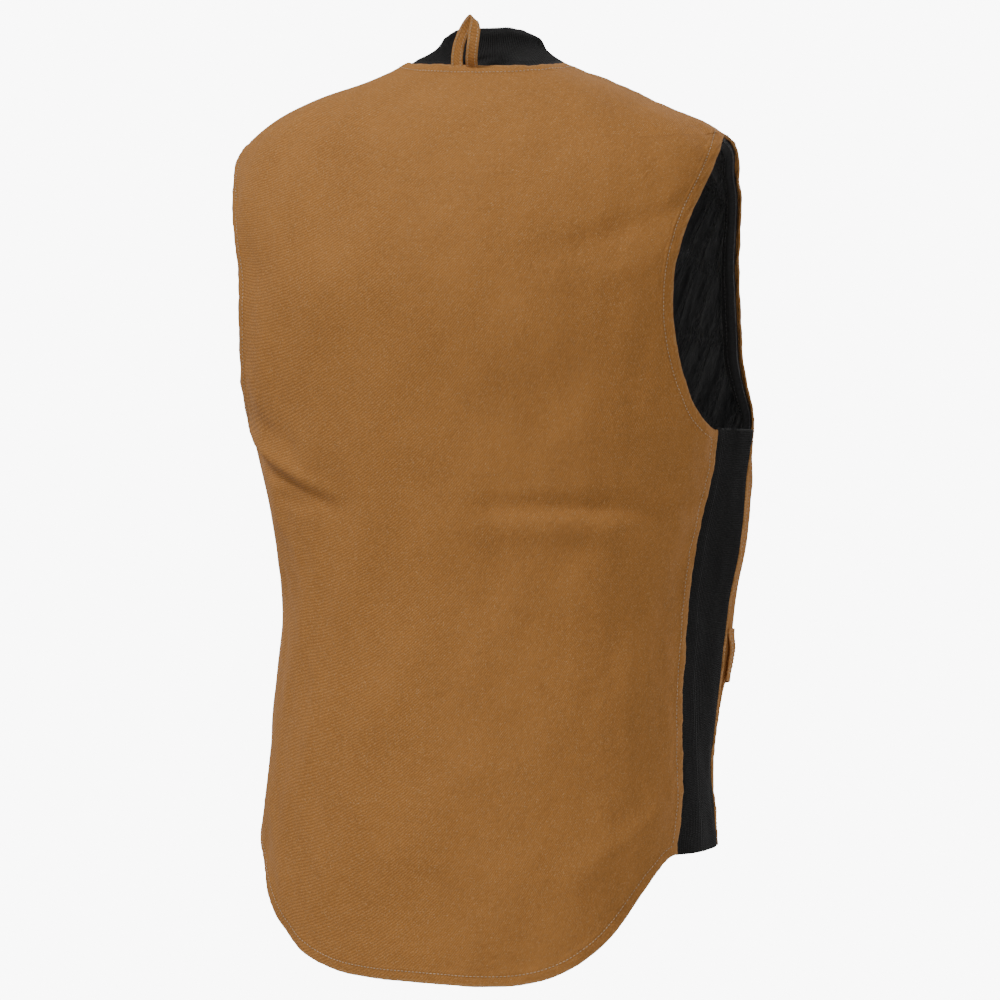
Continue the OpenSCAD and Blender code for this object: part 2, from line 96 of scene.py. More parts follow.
# Depths below the outside of the shell
SHELL_T = 1.4
LINING_IN, LINING_OUT = 2.4, 7.4
TAPE_IN, TAPE_OUT = 1.8, 2.8
FACING_IN = 3.0
POCKET_OUT = -1.6
FLAP_LIFT = 3.2
FRONT_EDGE_X, FACING_EDGE_X = 14.0, 39.0
TAPE_X, TAPE_W = 7.0, 20.0
HEM_TURN = 24.0
LOWER_MID, LOWER_SPAN = 139.5, 46.0
CHEST_MID, CHEST_SPAN = 152.0, 22.0
POCKET_GAP = 12.0
LOWER_FLAP_DROP, LOWER_POCKET_H, LOWER_FLAP_H = 466.0, 150.0, 52.0
CHEST_FLAP_DROP, CHEST_POCKET_H, CHEST_FLAP_H = 214.0, 118.0, 40.0
STITCH_INSET = 7.5

# Millimetres that a degree of turn is taken to span where the folds lie
DEGREE_MM = 2.6
# Folds of the hanging cloth, on the back: from (angle, height) to (angle, height),
# half width in millimetres, and how far it stands out
FOLDS = [
    ((72, -300), (26, -356), 6.5, 4.4),
    ((68, -322), (24, -366), 8.5, -4.4),
    ((58, -290), (36, -322), 10.0, -2.4),
    ((52, -356), (34, -366), 7.0, -3.2),
    ((64, -360), (44, -402), 9.0, 1.4),
    ((-8, -366), (-80, -362), 8.0, -3.6),
    ((-12, -384), (-80, -380), 11.0, 3.0),
    ((-12, -352), (-14, -450), 12.0, -1.6),
    ((-22, -168), (-60, -126), 10.0, -2.2),
    ((-30, -190), (-66, -158), 13.0, 1.8),
    ((-36, -655), (-76, -590), 11.0, 2.6),
    ((-50, -690), (-84, -612), 10.0, -2.6),
    ((40, -430), (12, -520), 22.0, -1.8),
    ((60, -600), (36, -690), 16.0, 1.8),
    ((2, -90), (-8, -230), 26.0, 1.6),
    ((30, -90), (52, -200), 20.0, -1.6),
]


def mix(a, b, t):
    return a + (b - a) * t


def smooth(x, low, high):
    t = np.clip((x - low) / (high - low), 0.0, 1.0)
    return t * t * (3 - 2 * t)


def measure(levels, column, drop):
    """Smooth curve through one column of a table of levels, eased at the shoulder line."""
    ease = 17 * np.exp(-((drop - SHOULDER_DROP) / 30) ** 2)
    return sum(curve(levels, column, drop + k * ease) for k in (-1, -0.5, 0, 0.5, 1)) / 5


def curve(levels, column, drop):
    """Cubic curve through one column of a table of levels."""
    d, y = levels[:, 0], levels[:, column]
    n = len(d)
    lo, hi = np.maximum(np.arange(n) - 1, 0), np.minimum(np.arange(n) + 1, n - 1)
    slope = (y[hi] - y[lo]) / (d[hi] - d[lo])
    i = np.clip(np.searchsorted(d, drop, side="right") - 1, 0, n - 2)
    h = d[i + 1] - d[i]
    t = (drop - d[i]) / h
    m0, m1 = slope[i] * h, slope[i + 1] * h
    rise = y[i + 1] - y[i]
    return y[i] + t * m0 + t * t * (3 * rise - 2 * m0 - m1) + t ** 3 * (m0 + m1 - 2 * rise)


def rounded(c):
    return np.sign(c) * np.abs(c) ** (2 / ROUNDNESS)


def form(a, z):
    """Point of the shell's outside at an angle round the body and a height."""
    a, z = np.broadcast_arrays(np.asarray(a, float), np.asarray(z, float))
    drop = np.maximum(-z, 0.0)
    turn = np.radians(a)
    below = ZIP_TOP_FRONT + (drop - FRONT_NECK_DROP) * ZIP_SLOPE
    front = np.where(drop > FRONT_NECK_DROP, below, measure(NECK, 1, np.minimum(drop, CHEST_DROP)))
    depth = np.where(np.cos(turn) > 0, measure(BODY, 2, drop), front)
    x = measure(BODY, 1, drop) * rounded(np.sin(turn))
    return np.stack([x, depth * rounded(np.cos(turn)), -drop], -1)


def unit(v):
    return v / np.maximum(np.linalg.norm(v, axis=-1, keepdims=True), 1e-12)


def outward(a, z):
    return unit(np.cross(form(a, z + 1.0) - form(a, z - 1.0), form(a + 1.0, z) - form(a - 1.0, z)))


def wander(x, y, seed):
    """Smooth, repeatable unevenness between about -1 and 1."""
    total = 0.0
    for k in range(5):
        turn = seed * 1.7 + k * 2.399
        wave = (0.6 + 0.28 * k) * (x * math.cos(turn) + y * math.sin(turn))
        total = total + np.sin(2 * math.pi * wave + seed * 3.1 + 1.3 * k * k)
    return total * 0.32


def fold(a, z):
    """How far the cloth stands out from the form: soft folds and hanging waves."""
    p = np.stack([a * DEGREE_MM, z], -1)
    out = np.zeros(np.shape(a))
    for start, end, half, height in FOLDS:
        s = np.array([start[0] * DEGREE_MM, start[1]])
        e = np.array([end[0] * DEGREE_MM, end[1]])
        along = ((p - s) @ (e - s)) / ((e - s) @ (e - s))
        near = s + np.clip(along, 0, 1)[..., None] * (e - s)
        reach = np.linalg.norm(p - near, axis=-1)
        ends = 0.35 + 0.65 * np.sin(np.pi * np.clip(along, 0, 1)) ** 0.7
        out = out + height * ends * np.exp(-(reach / half) ** 2)
    still = 1 - smooth(np.abs(a), 112, 128)
    top = smooth(-z, 10, 60)
    waves = 1.5 * wander(a / 34, z / 150, 2) + 0.55 * wander(a / 13, z / 60, 5)
    puff = 5.5 * np.exp(-((np.abs(a) - 119) / 3.6) ** 2) * smooth(-z, 300, 350)
    puff = puff * (1 - 0.9 * smooth(-z, 470, 610))
    return (out + waves * top) * np.where(np.abs(a) > 100, still, 1.0) + puff


# How far the trunk sways out at each side: height, the wearer's left, the wearer's right
SWAY = np.array([
    [0, 0, 0], [-40, 4, -8], [-85, 0, -14], [-125, 0, -6], [-165, 2, 2], [-215, 3, 8],
    [-260, 3, 11], [-290, 1, 22], [-340, -2, 24], [-385, -5, 27], [-440, -4, 24], [-485, -2, 19],
    [-530, 1, 7], [-575, 5, 0], [-640, 6, -1], [-700, 8, 3], [-760, 8, 6],
], float)


def hang(a, z):
    """Sideways sway of the trunk, which dies out before the pockets and the zip."""
    level = np.asarray(z, float)
    left, right = (sum(np.interp(-level + step, -SWAY[:, 0], SWAY[:, k]) for step in (-14, 0, 14)) / 3
                   for k in (1, 2))
    still = 1 - smooth(np.abs(a), 121, 137)
    return (left * smooth(a, -60, 80) - right * smooth(-a, 83, 119)) * still


def settle(p, a):
    """The neck is drawn in and sits higher on the wearer's left, and the shoulders sag."""
    x, drop, reach = p[..., 0], -p[..., 2], np.abs(p[..., 0])
    shift = np.zeros(p.shape)
    shift[..., 0] = -4.0 * np.exp(-(drop / 40) ** 2)
    shift[..., 0] -= 11.0 * np.clip(x / NECK_HALF, -1, 1) * np.exp(-(drop / 14) ** 2)
    lift = 3.8 * np.clip(x / NECK_HALF, -1.4, 1)
    sag_left = 3.0 * np.exp(-((reach - 104) / 26) ** 2)
    sag_right = 6.0 * np.exp(-((reach - 163) / 42) ** 2)
    sag = np.where(x > 0, sag_left, sag_right)
    shift[..., 2] = lift * (1 - smooth(drop, 20, 150)) - sag * (1 - smooth(drop, 55, 130))
    shift[..., 2] += 0.035 * x * smooth(drop, 560, 700)
    return shift * (1 - smooth(np.abs(a), 95, 150))[..., None]


def skin(a, z, depth=0.0):
    """Point at a depth below the shell's outside, with the cloth's hang and folds."""
    a, z = np.broadcast_arrays(np.asarray(a, float), np.asarray(z, float))
    base = form(a, z)
    base += settle(base, a)
    base[..., 0] += hang(a, z)
    return base + (fold(a, z) - depth)[..., None] * outward(a, z)


def angle_at_x(x, z):
    return 180 - np.degrees(np.arcsin(np.clip(x / measure(BODY, 1, -z), 0, 1) ** (ROUNDNESS / 2)))


# ---- panel outlines: v runs 0 neck, 1 shoulder tip, 2 underarm, 3 hem ----------


def neck_drop(turn):
    low = np.sin(np.radians(np.clip(turn - 90, 0, 90))) ** 1.2
    return np.where(turn <= 90, BACK_NECK_DROP * np.cos(np.radians(turn)), FRONT_NECK_DROP * low)


def neck_place(turn):
    z = -neck_drop(turn)
    x = NECK_HALF * np.cos(np.radians(np.clip(turn - 90, 0, 90))) ** 0.8
    return np.where(turn <= 90, turn, angle_at_x(x, z)), z


def by_zone(v, top, arm, low):
    return np.where(v <= 1, top, np.where(v <= 2, arm, low))


def side_height(v):
    mid, half = (SHOULDER_DROP + UNDERARM_DROP) / 2, (UNDERARM_DROP - SHOULDER_DROP) / 2
    arm = -mid + half * np.cos(np.pi * (v - 1))
    return by_zone(v, -SHOULDER_DROP * v, arm, mix(-UNDERARM_DROP, -SIDE_DROP, v - 2))


def arm_cut(v):
    """How far the armhole cuts in, in degrees."""
    return np.where((v > 1) & (v < 2), ARMHOLE_CUT * np.sin(np.pi * (v - 1)), 0.0)


def back_edge(v):
    arm = 90 - arm_cut(v) - (90 - SEAM_TOP) * (v - 1)
    return by_zone(v, 90.0 + 0 * v, arm, mix(SEAM_TOP, SEAM_HEM, np.clip(v - 2, 0, 1) ** 1.7))


def front_edge(v):
    arm = 90 + arm_cut(v) + (RIB_TOP - 90) * np.clip(v - 1, 0, 1) ** 4
    return by_zone(v, 90.0 + 0 * v, arm, mix(RIB_TOP, RIB_HEM, v - 2))


def hem_height(a):
    t = 1 - np.minimum(np.abs(a) / SEAM_HEM, 1) ** 1.75
    return -SIDE_DROP - TAIL_DROP * t * t * (3 - 2 * t)


def back_height(v, s, inset=0.0):
    top = mix(-neck_drop(np.abs(90 * s)) - inset / 3, -SHOULDER_DROP, v)
    low = mix(-UNDERARM_DROP, hem_height(s * SEAM_HEM) + inset, v - 2)
    return by_zone(v, top, side_height(v), low)


def front_row(s):
    return mix(-SHOULDER_DROP, -FRONT_NECK_DROP - 70, s ** 1.3)


def front_height(v, s, inset=0.0):
    top = mix(-neck_drop(90 + 90 * s) - inset / 3, front_row(s), v)
    down = (side_height(v) + SHOULDER_DROP) / (SHOULDER_DROP - UNDERARM_DROP)
    arm = mix(front_row(s), -UNDERARM_DROP, mix(down, v - 1, s * s * (3 - 2 * s)))
    return by_zone(v, top, arm, mix(-UNDERARM_DROP, -SIDE_DROP + inset, v - 2))


def rows_down(top, arm, low):
    """Values of v that crowd together towards the neck and the hem."""
    a = (np.arange(top) / top) ** 1.3
    b = 1 + np.arange(arm) / arm
    c = 3 - (1 - np.arange(low + 1) / low) ** 1.3
    return np.concatenate([a, b, c])[:, None]


def crowd(n):
    """0 to 1 in n steps, crowded at the ends."""
    u = np.linspace(-1, 1, n + 1)
    s = np.sign(u) * (1 - (1 - np.abs(u)) ** 1.3)
    return ((s + 1) / 2)[None, :]


def back_grid(rows, cols, inset=0.0, trim=0.0):
    v = rows_down(*rows)
    s = 2 * crowd(cols) - 1
    a = s * (back_edge(v) + arm_cut(v) - trim) - s * np.abs(s) * arm_cut(v)
    return a, back_height(v, s, inset)


def front_grid(side, rows, cols, inset, trim, edge_x):
    v = rows_down(*rows)
    s = crowd(cols)
    z = front_height(v, s, inset)
    a = mix(front_edge(v) - arm_cut(v) + trim, angle_at_x(edge_x, z), s) + arm_cut(v) * (1 - s) ** 2
    at_neck = np.minimum(neck_place(90 + 90 * s)[0], angle_at_x(edge_x, z))
    return side * np.where(v < 1, mix(at_neck, a, np.minimum(v, 1)), a), z


# ---- cloth in mesh code ----------------------------------------------------


def arcs(p):
    """How far each point of a grid lies across and down the cloth, in millimetres."""
    step = np.linalg.norm(np.diff(p, axis=1), axis=-1)
    across = np.concatenate([np.zeros((len(p), 1)), np.cumsum(step, axis=1)], axis=1)
    across -= across[:, [p.shape[1] // 2]]
    step = np.linalg.norm(np.diff(p, axis=0), axis=-1)
    down = np.concatenate([np.zeros((1, p.shape[1])), np.cumsum(step, axis=0)], axis=0)
    return across, down


def border(shape):
    """Indices of a grid's outline, once round."""
    r, c = shape
    top = [(0, j) for j in range(c)]
    right = [(i, c - 1) for i in range(1, r)]
    bottom = [(r - 1, j) for j in range(c - 2, -1, -1)]
    left = [(i, 0) for i in range(r - 2, 0, -1)]
    return np.array(top + right + bottom + left)


def edge_distance(p):
    """Distance of each grid point from the cut edge of the cloth."""
    ring = border(p.shape[:2])
    edge = p[ring[:, 0], ring[:, 1]]
    out = np.empty(p.shape[:2])
    for i, row in enumerate(p):
        out[i] = np.sqrt(((row[:, None] - edge[None]) ** 2).sum(-1).min(1))
    return out


def grid_normals(p):
    n = np.cross(np.gradient(p, axis=1), np.gradient(p, axis=0))
    return unit(n)


def quads_mesh(name, points, quads, paints=()):
    """Mesh of four-sided faces from points in millimetres, turned to face outwards."""
    points = np.ascontiguousarray(points, dtype=np.float64) * 0.001
    quads = np.asarray(quads, dtype=np.int32)
    p = points[quads]
    volume = (p[:, 0] * np.cross(p[:, 1] - p[:, 0], p[:, 2] - p[:, 0])).sum()
    volume += (p[:, 0] * np.cross(p[:, 2] - p[:, 0], p[:, 3] - p[:, 0])).sum()
    if volume < 0:
        quads = quads[:, ::-1]
    mesh = bpy.data.meshes.new(name)
    mesh.vertices.add(len(points))
    mesh.vertices.foreach_set("co", points.astype(np.float32).ravel())
    mesh.loops.add(quads.size)
    mesh.loops.foreach_set("vertex_index", quads.ravel())
    mesh.polygons.add(len(quads))
    mesh.polygons.foreach_set("loop_start", np.arange(len(quads), dtype=np.int32) * 4)
    mesh.polygons.foreach_set("use_smooth", np.ones(len(quads), dtype=bool))
    mesh.update(calc_edges=True)
    for paint in paints:
        mesh.materials.append(paint)
    obj = bpy.data.objects.new(name, mesh)
    bpy.context.scene.collection.objects.link(obj)
    return obj


def cloth(name, outer, inner, paint, lay=None, bulge=0.8, butt=None):
    """Closed piece of cloth between two grids, with a rounded edge all round.

    butt is a column that meets another piece and stays square.
    """
    shape = outer.shape[:2]
    count = shape[0] * shape[1]
    index = np.arange(count).reshape(shape)
    face = np.stack([index[:-1, :-1], index[:-1, 1:], index[1:, 1:], index[1:, :-1]], -1).reshape(-1, 4)
    ring = border(shape)
    edge = index[ring[:, 0], ring[:, 1]]
    within = index[np.clip(ring[:, 0], 1, shape[0] - 2), np.clip(ring[:, 1], 1, shape[1] - 2)]
    flat_out, flat_in = outer.reshape(-1, 3), inner.reshape(-1, 3)
    middle = (flat_out[edge] + flat_in[edge]) / 2
    half = (flat_out[edge] - flat_in[edge]) / 2
    away = middle - (flat_out[within] + flat_in[within]) / 2
    thick = np.linalg.norm(half, axis=1, keepdims=True)
    across = half / np.maximum(thick, 1e-9)
    away = unit(away - (away * across).sum(1, keepdims=True) * across)
    if butt is not None:
        away[ring[:, 1] == butt % shape[1]] = 0
    rims, loops = [], [edge]
    for k in range(1, 4):
        turn = math.pi * k / 4
        rims.append(middle + math.cos(turn) * half + bulge * math.sin(turn) * thick * away)
        loops.append(2 * count + (k - 1) * len(edge) + np.arange(len(edge)))
    loops.append(count + edge)
    quads = [face, face[:, ::-1] + count]
    for a, b in zip(loops, loops[1:]):
        quads.append(np.stack([a, b, np.roll(b, -1), np.roll(a, -1)], -1))
    points = np.concatenate([flat_out, flat_in] + rims)
    obj = quads_mesh(name, points, np.concatenate(quads), [paint])
    across_mm, down_mm = arcs(outer) if lay is None else lay
    far = edge_distance(outer)
    flat = np.stack([across_mm, down_mm, far], -1).reshape(-1, 3)
    values = np.concatenate([flat, flat] + [flat[edge]] * 3) * 0.001
    mark(obj, "lay", values)
    return obj


def mark(obj, name, values):
    """Stores a vector on each point for the materials to read."""
    layer = obj.data.attributes.new(name, "FLOAT_VECTOR", "POINT")
    layer.data.foreach_set("vector", np.ascontiguousarray(values, dtype=np.float32).ravel())


class Panel:
    """A panel of duck on the form, with turned edges and a stitched line inside them."""

    def __init__(self, a, z, depth=0.0, inset=STITCH_INSET, turned=0.7, thick=SHELL_T, wave=0.0, seed=1):
        self.a, self.z = a, z
        base = skin(a, z, depth)
        self.far = edge_distance(base)
        self.across, self.down = arcs(base)
        hem = turned * (1 - smooth(self.far, inset + 1, inset + 3.2))
        line = -0.55 * np.exp(-((self.far - inset) / 1.1) ** 2)
        pucker = 0.32 * wander(self.across / 9, self.down / 9, seed)
        pucker = pucker * (1 - smooth(self.far, inset, inset + 14))
        ruffle = wave * wander(self.across / 30, self.down / 38, seed + 3) * (1 - smooth(self.far, 0, 26))
        normals = outward(a, z)
        self.outer = base + (hem + line + pucker + ruffle)[..., None] * normals
        self.inner = base + (ruffle - thick)[..., None] * normals
        self.normals = grid_normals(self.outer)
        facing = (self.normals * normals).sum(-1).mean()
        self.normals = self.normals * np.sign(facing)

    def piece(self, name, paint):
        return cloth(name, self.outer, self.inner, paint, (self.across, self.down))

    def stitched_line(self, inset, sides="ltrb"):
        """Paths on the outside, at one distance from the edge, with their normals."""
        paths = []
        upright = (self.outer, self.normals, self.far)
        lying = tuple(grid.swapaxes(0, 1) for grid in upright)
        grids = {
            "l": upright, "r": tuple(grid[:, ::-1] for grid in upright),
            "t": lying, "b": tuple(grid[:, ::-1] for grid in lying),
        }
        for side in sides:
            p, n, far = grids[side]
            limit = p.shape[1] // 2
            points, normals = [], []
            for i in range(len(p)):
                past = np.nonzero(far[i, :limit] >= inset)[0]
                if not len(past) or past[0] == 0:
                    continue
                j = past[0]
                walked = np.linalg.norm(p[i, j] - p[i, 0])
                if walked > inset * 3.4:
                    continue
                t = (inset - far[i, j - 1]) / (far[i, j] - far[i, j - 1])
                points.append(mix(p[i, j - 1], p[i, j], t))
                normals.append(unit(mix(n[i, j - 1], n[i, j], t)))
            if len(points) > 2:
                paths.append((np.array(points), np.array(normals)))
        return paths


def along(points, normals, run, at):
    p = np.stack([np.interp(at, run, points[:, k]) for k in range(3)], -1)
    n = np.stack([np.interp(at, run, normals[:, k]) for k in range(3)], -1)
    return p, unit(n)


def stitches(name, paths, paint, radius=0.34, pitch=3.1, length=2.35):
    """Rows of separate stitches, each one a small arch of thread sunk into the cloth at its ends."""
    spans = np.linspace(0, 1, 6)
    arch = np.sin(np.pi * spans) ** 0.6
    fat = np.array([0.35, 0.9, 1.0, 1.0, 0.9, 0.35]) * radius
    around = np.radians(np.arange(6) * 60.0)
    points, quads, total = [], [], 0
    for path, normals in paths:
        step = np.linalg.norm(np.diff(path, axis=0), axis=1)
        keep = np.concatenate([[True], step > 1e-4])
        path, normals = path[keep], normals[keep]
        run = np.concatenate([[0], np.cumsum(np.linalg.norm(np.diff(path, axis=0), axis=1))])
        count = int(run[-1] / pitch)
        if count < 1:
            continue
        starts = np.arange(count) * pitch + (run[-1] - count * pitch) / 2
        at = starts[:, None] + spans[None] * length
        p, n = along(path, normals, run, at.ravel())
        p, n = p.reshape(count, 6, 3), n.reshape(count, 6, 3)
        ahead = unit(p[:, -1] - p[:, 0])[:, None]
        side = unit(np.cross(ahead, n))
        centre = p + n * (radius * (1.5 * arch - 0.75))[None, :, None]
        rings = centre[:, :, None] + (
            side[:, :, None] * np.cos(around)[:, None] + n[:, :, None] * np.sin(around)[:, None] * 0.8
        ) * fat[None, :, None, None]
        points.append(rings.reshape(-1, 3))
        first = total + np.arange(count)[:, None] * 36
        for k in range(5):
            for m in range(6):
                a, b = k * 6 + m, k * 6 + (m + 1) % 6
                quads.append(np.concatenate([first + a, first + b, first + b + 6, first + a + 6], 1))
        for ring, back in ((0, True), (30, False)):
            for corner in ((0, 1, 2, 3), (0, 3, 4, 5)):
                order = corner[::-1] if back else corner
                quads.append(np.concatenate([first + ring + c for c in order], 1))
        total += count * 36
    return quads_mesh(name, np.concatenate(points), np.concatenate(quads), [paint])


# ---- materials -------------------------------------------------------------


class Wire:
    """A node output that joins in arithmetic; each operation adds its Math node."""

    def __init__(self, paint, socket):
        self.paint, self.socket = paint, socket

    def __add__(self, other):
        return self.paint.maths("ADD", self, other)

    __radd__ = __add__

    def __sub__(self, other):
        return self.paint.maths("SUBTRACT", self, other)

    def __rsub__(self, other):
        return self.paint.maths("SUBTRACT", other, self)

    def __mul__(self, other):
        return self.paint.maths("MULTIPLY", self, other)

    __rmul__ = __mul__

    def __truediv__(self, other):
        return self.paint.maths("DIVIDE", self, other)

    def sine(self):
        return self.paint.maths("SINE", self)

    def size(self):
        return self.paint.maths("ABSOLUTE", self)

    def part(self):
        return self.paint.maths("FRACT", self)

    def between(self, low, high):
        """0 below low, 1 above high, smooth between."""
        settings = {"interpolation_type": "SMOOTHSTEP"}
        return self.paint.node("ShaderNodeMapRange", settings, {0: self, 1: low, 2: high, 3: 0.0, 4: 1.0})


class Paint:
    """One material and the nodes that draw it."""

    def __init__(self, name, constants):
        self.material = bpy.data.materials.new(name)
        self.material.use_nodes = True
        self.tree = self.material.node_tree
        self.tree.nodes.clear()
        end = self.tree.nodes.new("ShaderNodeOutputMaterial")
        self.shader = self.tree.nodes.new("ShaderNodeBsdfPrincipled")
        self.tree.links.new(self.shader.outputs[0], end.inputs[0])
        for key, value in constants.items():
            self.shader.inputs[key].default_value = value

    def node(self, kind, settings=None, sockets=None, output=0):
        made = self.tree.nodes.new(kind)
        for key, value in (settings or {}).items():
            setattr(made, key, value)
        for key, value in (sockets or {}).items():
            if isinstance(value, Wire):
                self.tree.links.new(value.socket, made.inputs[key])
            else:
                made.inputs[key].default_value = value
        return Wire(self, made.outputs[output])

    def maths(self, operation, *values):
        return self.node("ShaderNodeMath", {"operation": operation}, dict(enumerate(values)))

    def tint(self, factor, low, high, mode="MIX"):
        """Colour between two colours."""
        settings = {"data_type": "RGBA", "blend_type": mode}
        return self.node("ShaderNodeMix", settings, {0: factor, 6: low, 7: high}, 2)

    def noise(self, where, scale, detail=2.0, rough=0.5):
        return self.node("ShaderNodeTexNoise", {}, {
            "Vector": where, "Scale": scale, "Detail": detail, "Roughness": rough})

    def lay(self):
        """Place on the cloth in metres: across, down, and distance in from the edge."""
        where = self.node("ShaderNodeAttribute", {"attribute_name": "lay"}, output=1)
        xyz = [self.node("ShaderNodeSeparateXYZ", {}, {0: where}, k) for k in range(3)]
        return where, xyz

    def solid(self):
        return self.node("ShaderNodeTexCoord", output=3)

    def bump(self, height, distance, below=None):
        sockets = {"Height": height, "Distance": distance, "Strength": 1.0}
        if below is not None:
            sockets["Normal"] = below
        return self.node("ShaderNodeBump", {}, sockets)

    def finish(self, colour=None, roughness=None, normal=None):
        for key, value in (("Base Color", colour), ("Roughness", roughness), ("Normal", normal)):
            if value is not None:
                self.tree.links.new(value.socket, self.shader.inputs[key])
        return self.material


def rgba(colour, gain=1.0):
    return tuple(c * gain for c in colour[:3]) + (1.0,)


TURN = 2 * math.pi


def duck_paint(name, colour, weave):
    paint = Paint(name, {"Sheen Weight": 0.03, "Sheen Roughness": 0.5, "Specular IOR Level": 0.16})
    where, (u, v, edge) = paint.lay()
    cloudy = paint.noise(where, 16.0, 4.0, 0.55)
    slub = paint.noise(where, 260.0, 3.0, 0.6)
    fleck = paint.noise(where, 900.0, 2.0, 0.6)
    twill = ((u - v) * (TURN / weave) + slub * 9.0 + cloudy * 3.0).sine() * slub.between(0.25, 0.6)
    threads = (u * (TURN / 0.0011)).sine() * (v * (TURN / 0.0011)).sine()
    tone = twill * 0.48 + (cloudy - 0.5) * 0.7 + (slub - 0.5) * 0.9 + 0.5
    body = paint.tint(tone.between(0.0, 1.0), rgba(colour, 0.80), rgba(colour, 1.2))
    pale = fleck.between(0.56, 0.70) * 0.55
    body = paint.tint(pale, body, rgba((0.66, 0.42, 0.20)))
    worn = (1.0 - edge.between(0.0004, 0.0022)) * (slub.between(0.35, 0.7) * 0.35 + 0.1)
    body = paint.tint(worn, body, rgba((0.55, 0.34, 0.16)))
    # Painted shade: the canvas is darkened in a narrow band along the stitch line, about 7.8 mm in from
    # the edge, where the stitch dent would be shaded.
    seam = (edge - 0.0078).size()
    seam_shade = (1.0 - seam.between(0.0004, 0.0026)) * 0.16
    body = paint.tint(seam_shade, body, rgba(colour, 0.5))
    creases = paint.noise(where, 70.0, 5.0, 0.6)
    height = twill * 0.14 + threads * 0.3 + slub * 0.6 + fleck * 0.25
    soft = paint.bump(creases, 0.0010)
    return paint.finish(body, 0.78 + slub * 0.18, paint.bump(height, 0.00022, soft))


def knit_paint(name, colour):
    paint = Paint(name, {"Sheen Weight": 0.06, "Sheen Roughness": 0.5, "Specular IOR Level": 0.22})
    where, (u, v, _) = paint.lay()
    fuzz = paint.noise(where, 800.0, 3.0, 0.7)
    cloudy = paint.noise(where, 30.0, 3.0)
    loops = (v * (TURN / 0.0019) + (u * (TURN / 0.0024)).sine() * 1.4).sine()
    body = paint.tint(fuzz.between(0.3, 0.8), rgba(colour, 0.7), rgba(colour, 1.9))
    body = paint.tint((cloudy - 0.4).between(0.0, 0.4) * 0.3, body, rgba(colour, 1.7))
    return paint.finish(body, 0.7 + fuzz * 0.25, paint.bump(loops * 0.4 + fuzz * 0.7, 0.00025))


def quilt_paint(name, colour, width, height):
    paint = Paint(name, {"Sheen Weight": 0.3, "Specular IOR Level": 0.8})
    where, (u, v, _) = paint.lay()
    p, q = u / width + v / height, u / width - v / height
    crinkle = paint.noise(where, 120.0, 5.0, 0.62)
    grain = paint.noise(where, 1400.0, 2.0, 0.5)
    line_p = 0.5 - (p.part() - 0.5).size()
    line_q = 0.5 - (q.part() - 0.5).size()
    near = (1.0 - line_p.between(0.008, 0.03)) + (1.0 - line_q.between(0.008, 0.03))
    dash = (v * (TURN / 0.0034)).sine().between(-0.2, 0.2)
    body = paint.tint(crinkle.between(0.3, 0.75), rgba(colour, 0.75), rgba(colour, 1.7))
    body = paint.tint((near * dash * 0.7).between(0.0, 1.0), body, rgba(colour, 5.0))
    pull = 1.0 + 2.2 * (1.0 - line_p.between(0.0, 0.2)) + 2.2 * (1.0 - line_q.between(0.0, 0.2))
    normal = paint.bump(crinkle * pull * 0.4 + grain * 0.04, 0.0022)
    return paint.finish(body, 0.2 + crinkle * 0.24, normal)


def tape_paint(name, colour, rib=0.0014):
    paint = Paint(name, {"Sheen Weight": 0.1, "Specular IOR Level": 0.35})
    where, (u, v, _) = paint.lay()
    zigzag = ((v / 0.006).part() - 0.5).size() * 0.006
    bone = ((u + zigzag) * (TURN / rib)).sine()
    grain = paint.noise(where, 900.0, 2.0)
    body = paint.tint(bone.between(-1.0, 1.0) * 0.6 + grain * 0.4, rgba(colour, 0.6), rgba(colour, 2.0))
    return paint.finish(body, 0.62 + grain * 0.2, paint.bump(bone * 0.5 + grain * 0.5, 0.0002))


def thread_paint(name, colour):
    paint = Paint(name, {"Sheen Weight": 0.2, "Specular IOR Level": 0.3})
    where = paint.solid()
    grain = paint.noise(where, 1500.0, 2.0)
    cloudy = paint.noise(where, 40.0, 2.0)
    body = paint.tint(cloudy.between(0.3, 0.7), rgba(colour, 0.8), rgba(colour, 1.15))
    return paint.finish(body, 0.6 + grain * 0.2, paint.bump(grain, 0.0001))


def brass_paint(name, colour):
    paint = Paint(name, {"Metallic": 1.0, "Specular IOR Level": 0.5})
    where = paint.solid()
    patina = paint.noise(where, 140.0, 5.0, 0.65)
    scratch = paint.noise(where, 1500.0, 3.0, 0.7)
    body = paint.tint(patina.between(0.35, 0.7), rgba(colour), rgba(colour, 0.45))
    rough = 0.24 + patina * 0.25 + scratch * 0.12
    return paint.finish(body, rough, paint.bump(scratch * 0.3 + patina * 0.7, 0.00012))


def label_paint(name, colour):
    paint = Paint(name, {"Sheen Weight": 0.1, "Specular IOR Level": 0.3})
    where, (u, v, edge) = paint.lay()
    weave = (u * (TURN / 0.0007)).sine() * 0.5 + (v * (TURN / 0.0009)).sine() * 0.5
    cloudy = paint.noise(where, 60.0, 3.0)
    frame_line = (1.0 - (edge - 0.0032).size().between(0.0003, 0.0008)) * 0.7
    body = paint.tint(cloudy.between(0.3, 0.8), rgba(colour, 0.9), rgba(colour, 1.1))
    body = paint.tint(frame_line, body, rgba((0.09, 0.05, 0.02)))
    return paint.finish(body, 0.7 + cloudy * 0.1, paint.bump(weave, 0.00015))


def floor_paint(name, colour):
    paint = Paint(name, {"Specular IOR Level": 0.1})
    speckle = paint.noise(paint.solid(), 3.0, 2.0)
    body = paint.tint(speckle, rgba(colour, 0.98), rgba(colour, 1.02))
    return paint.finish(body, 0.85 + speckle * 0.05)


PAINTS = {}


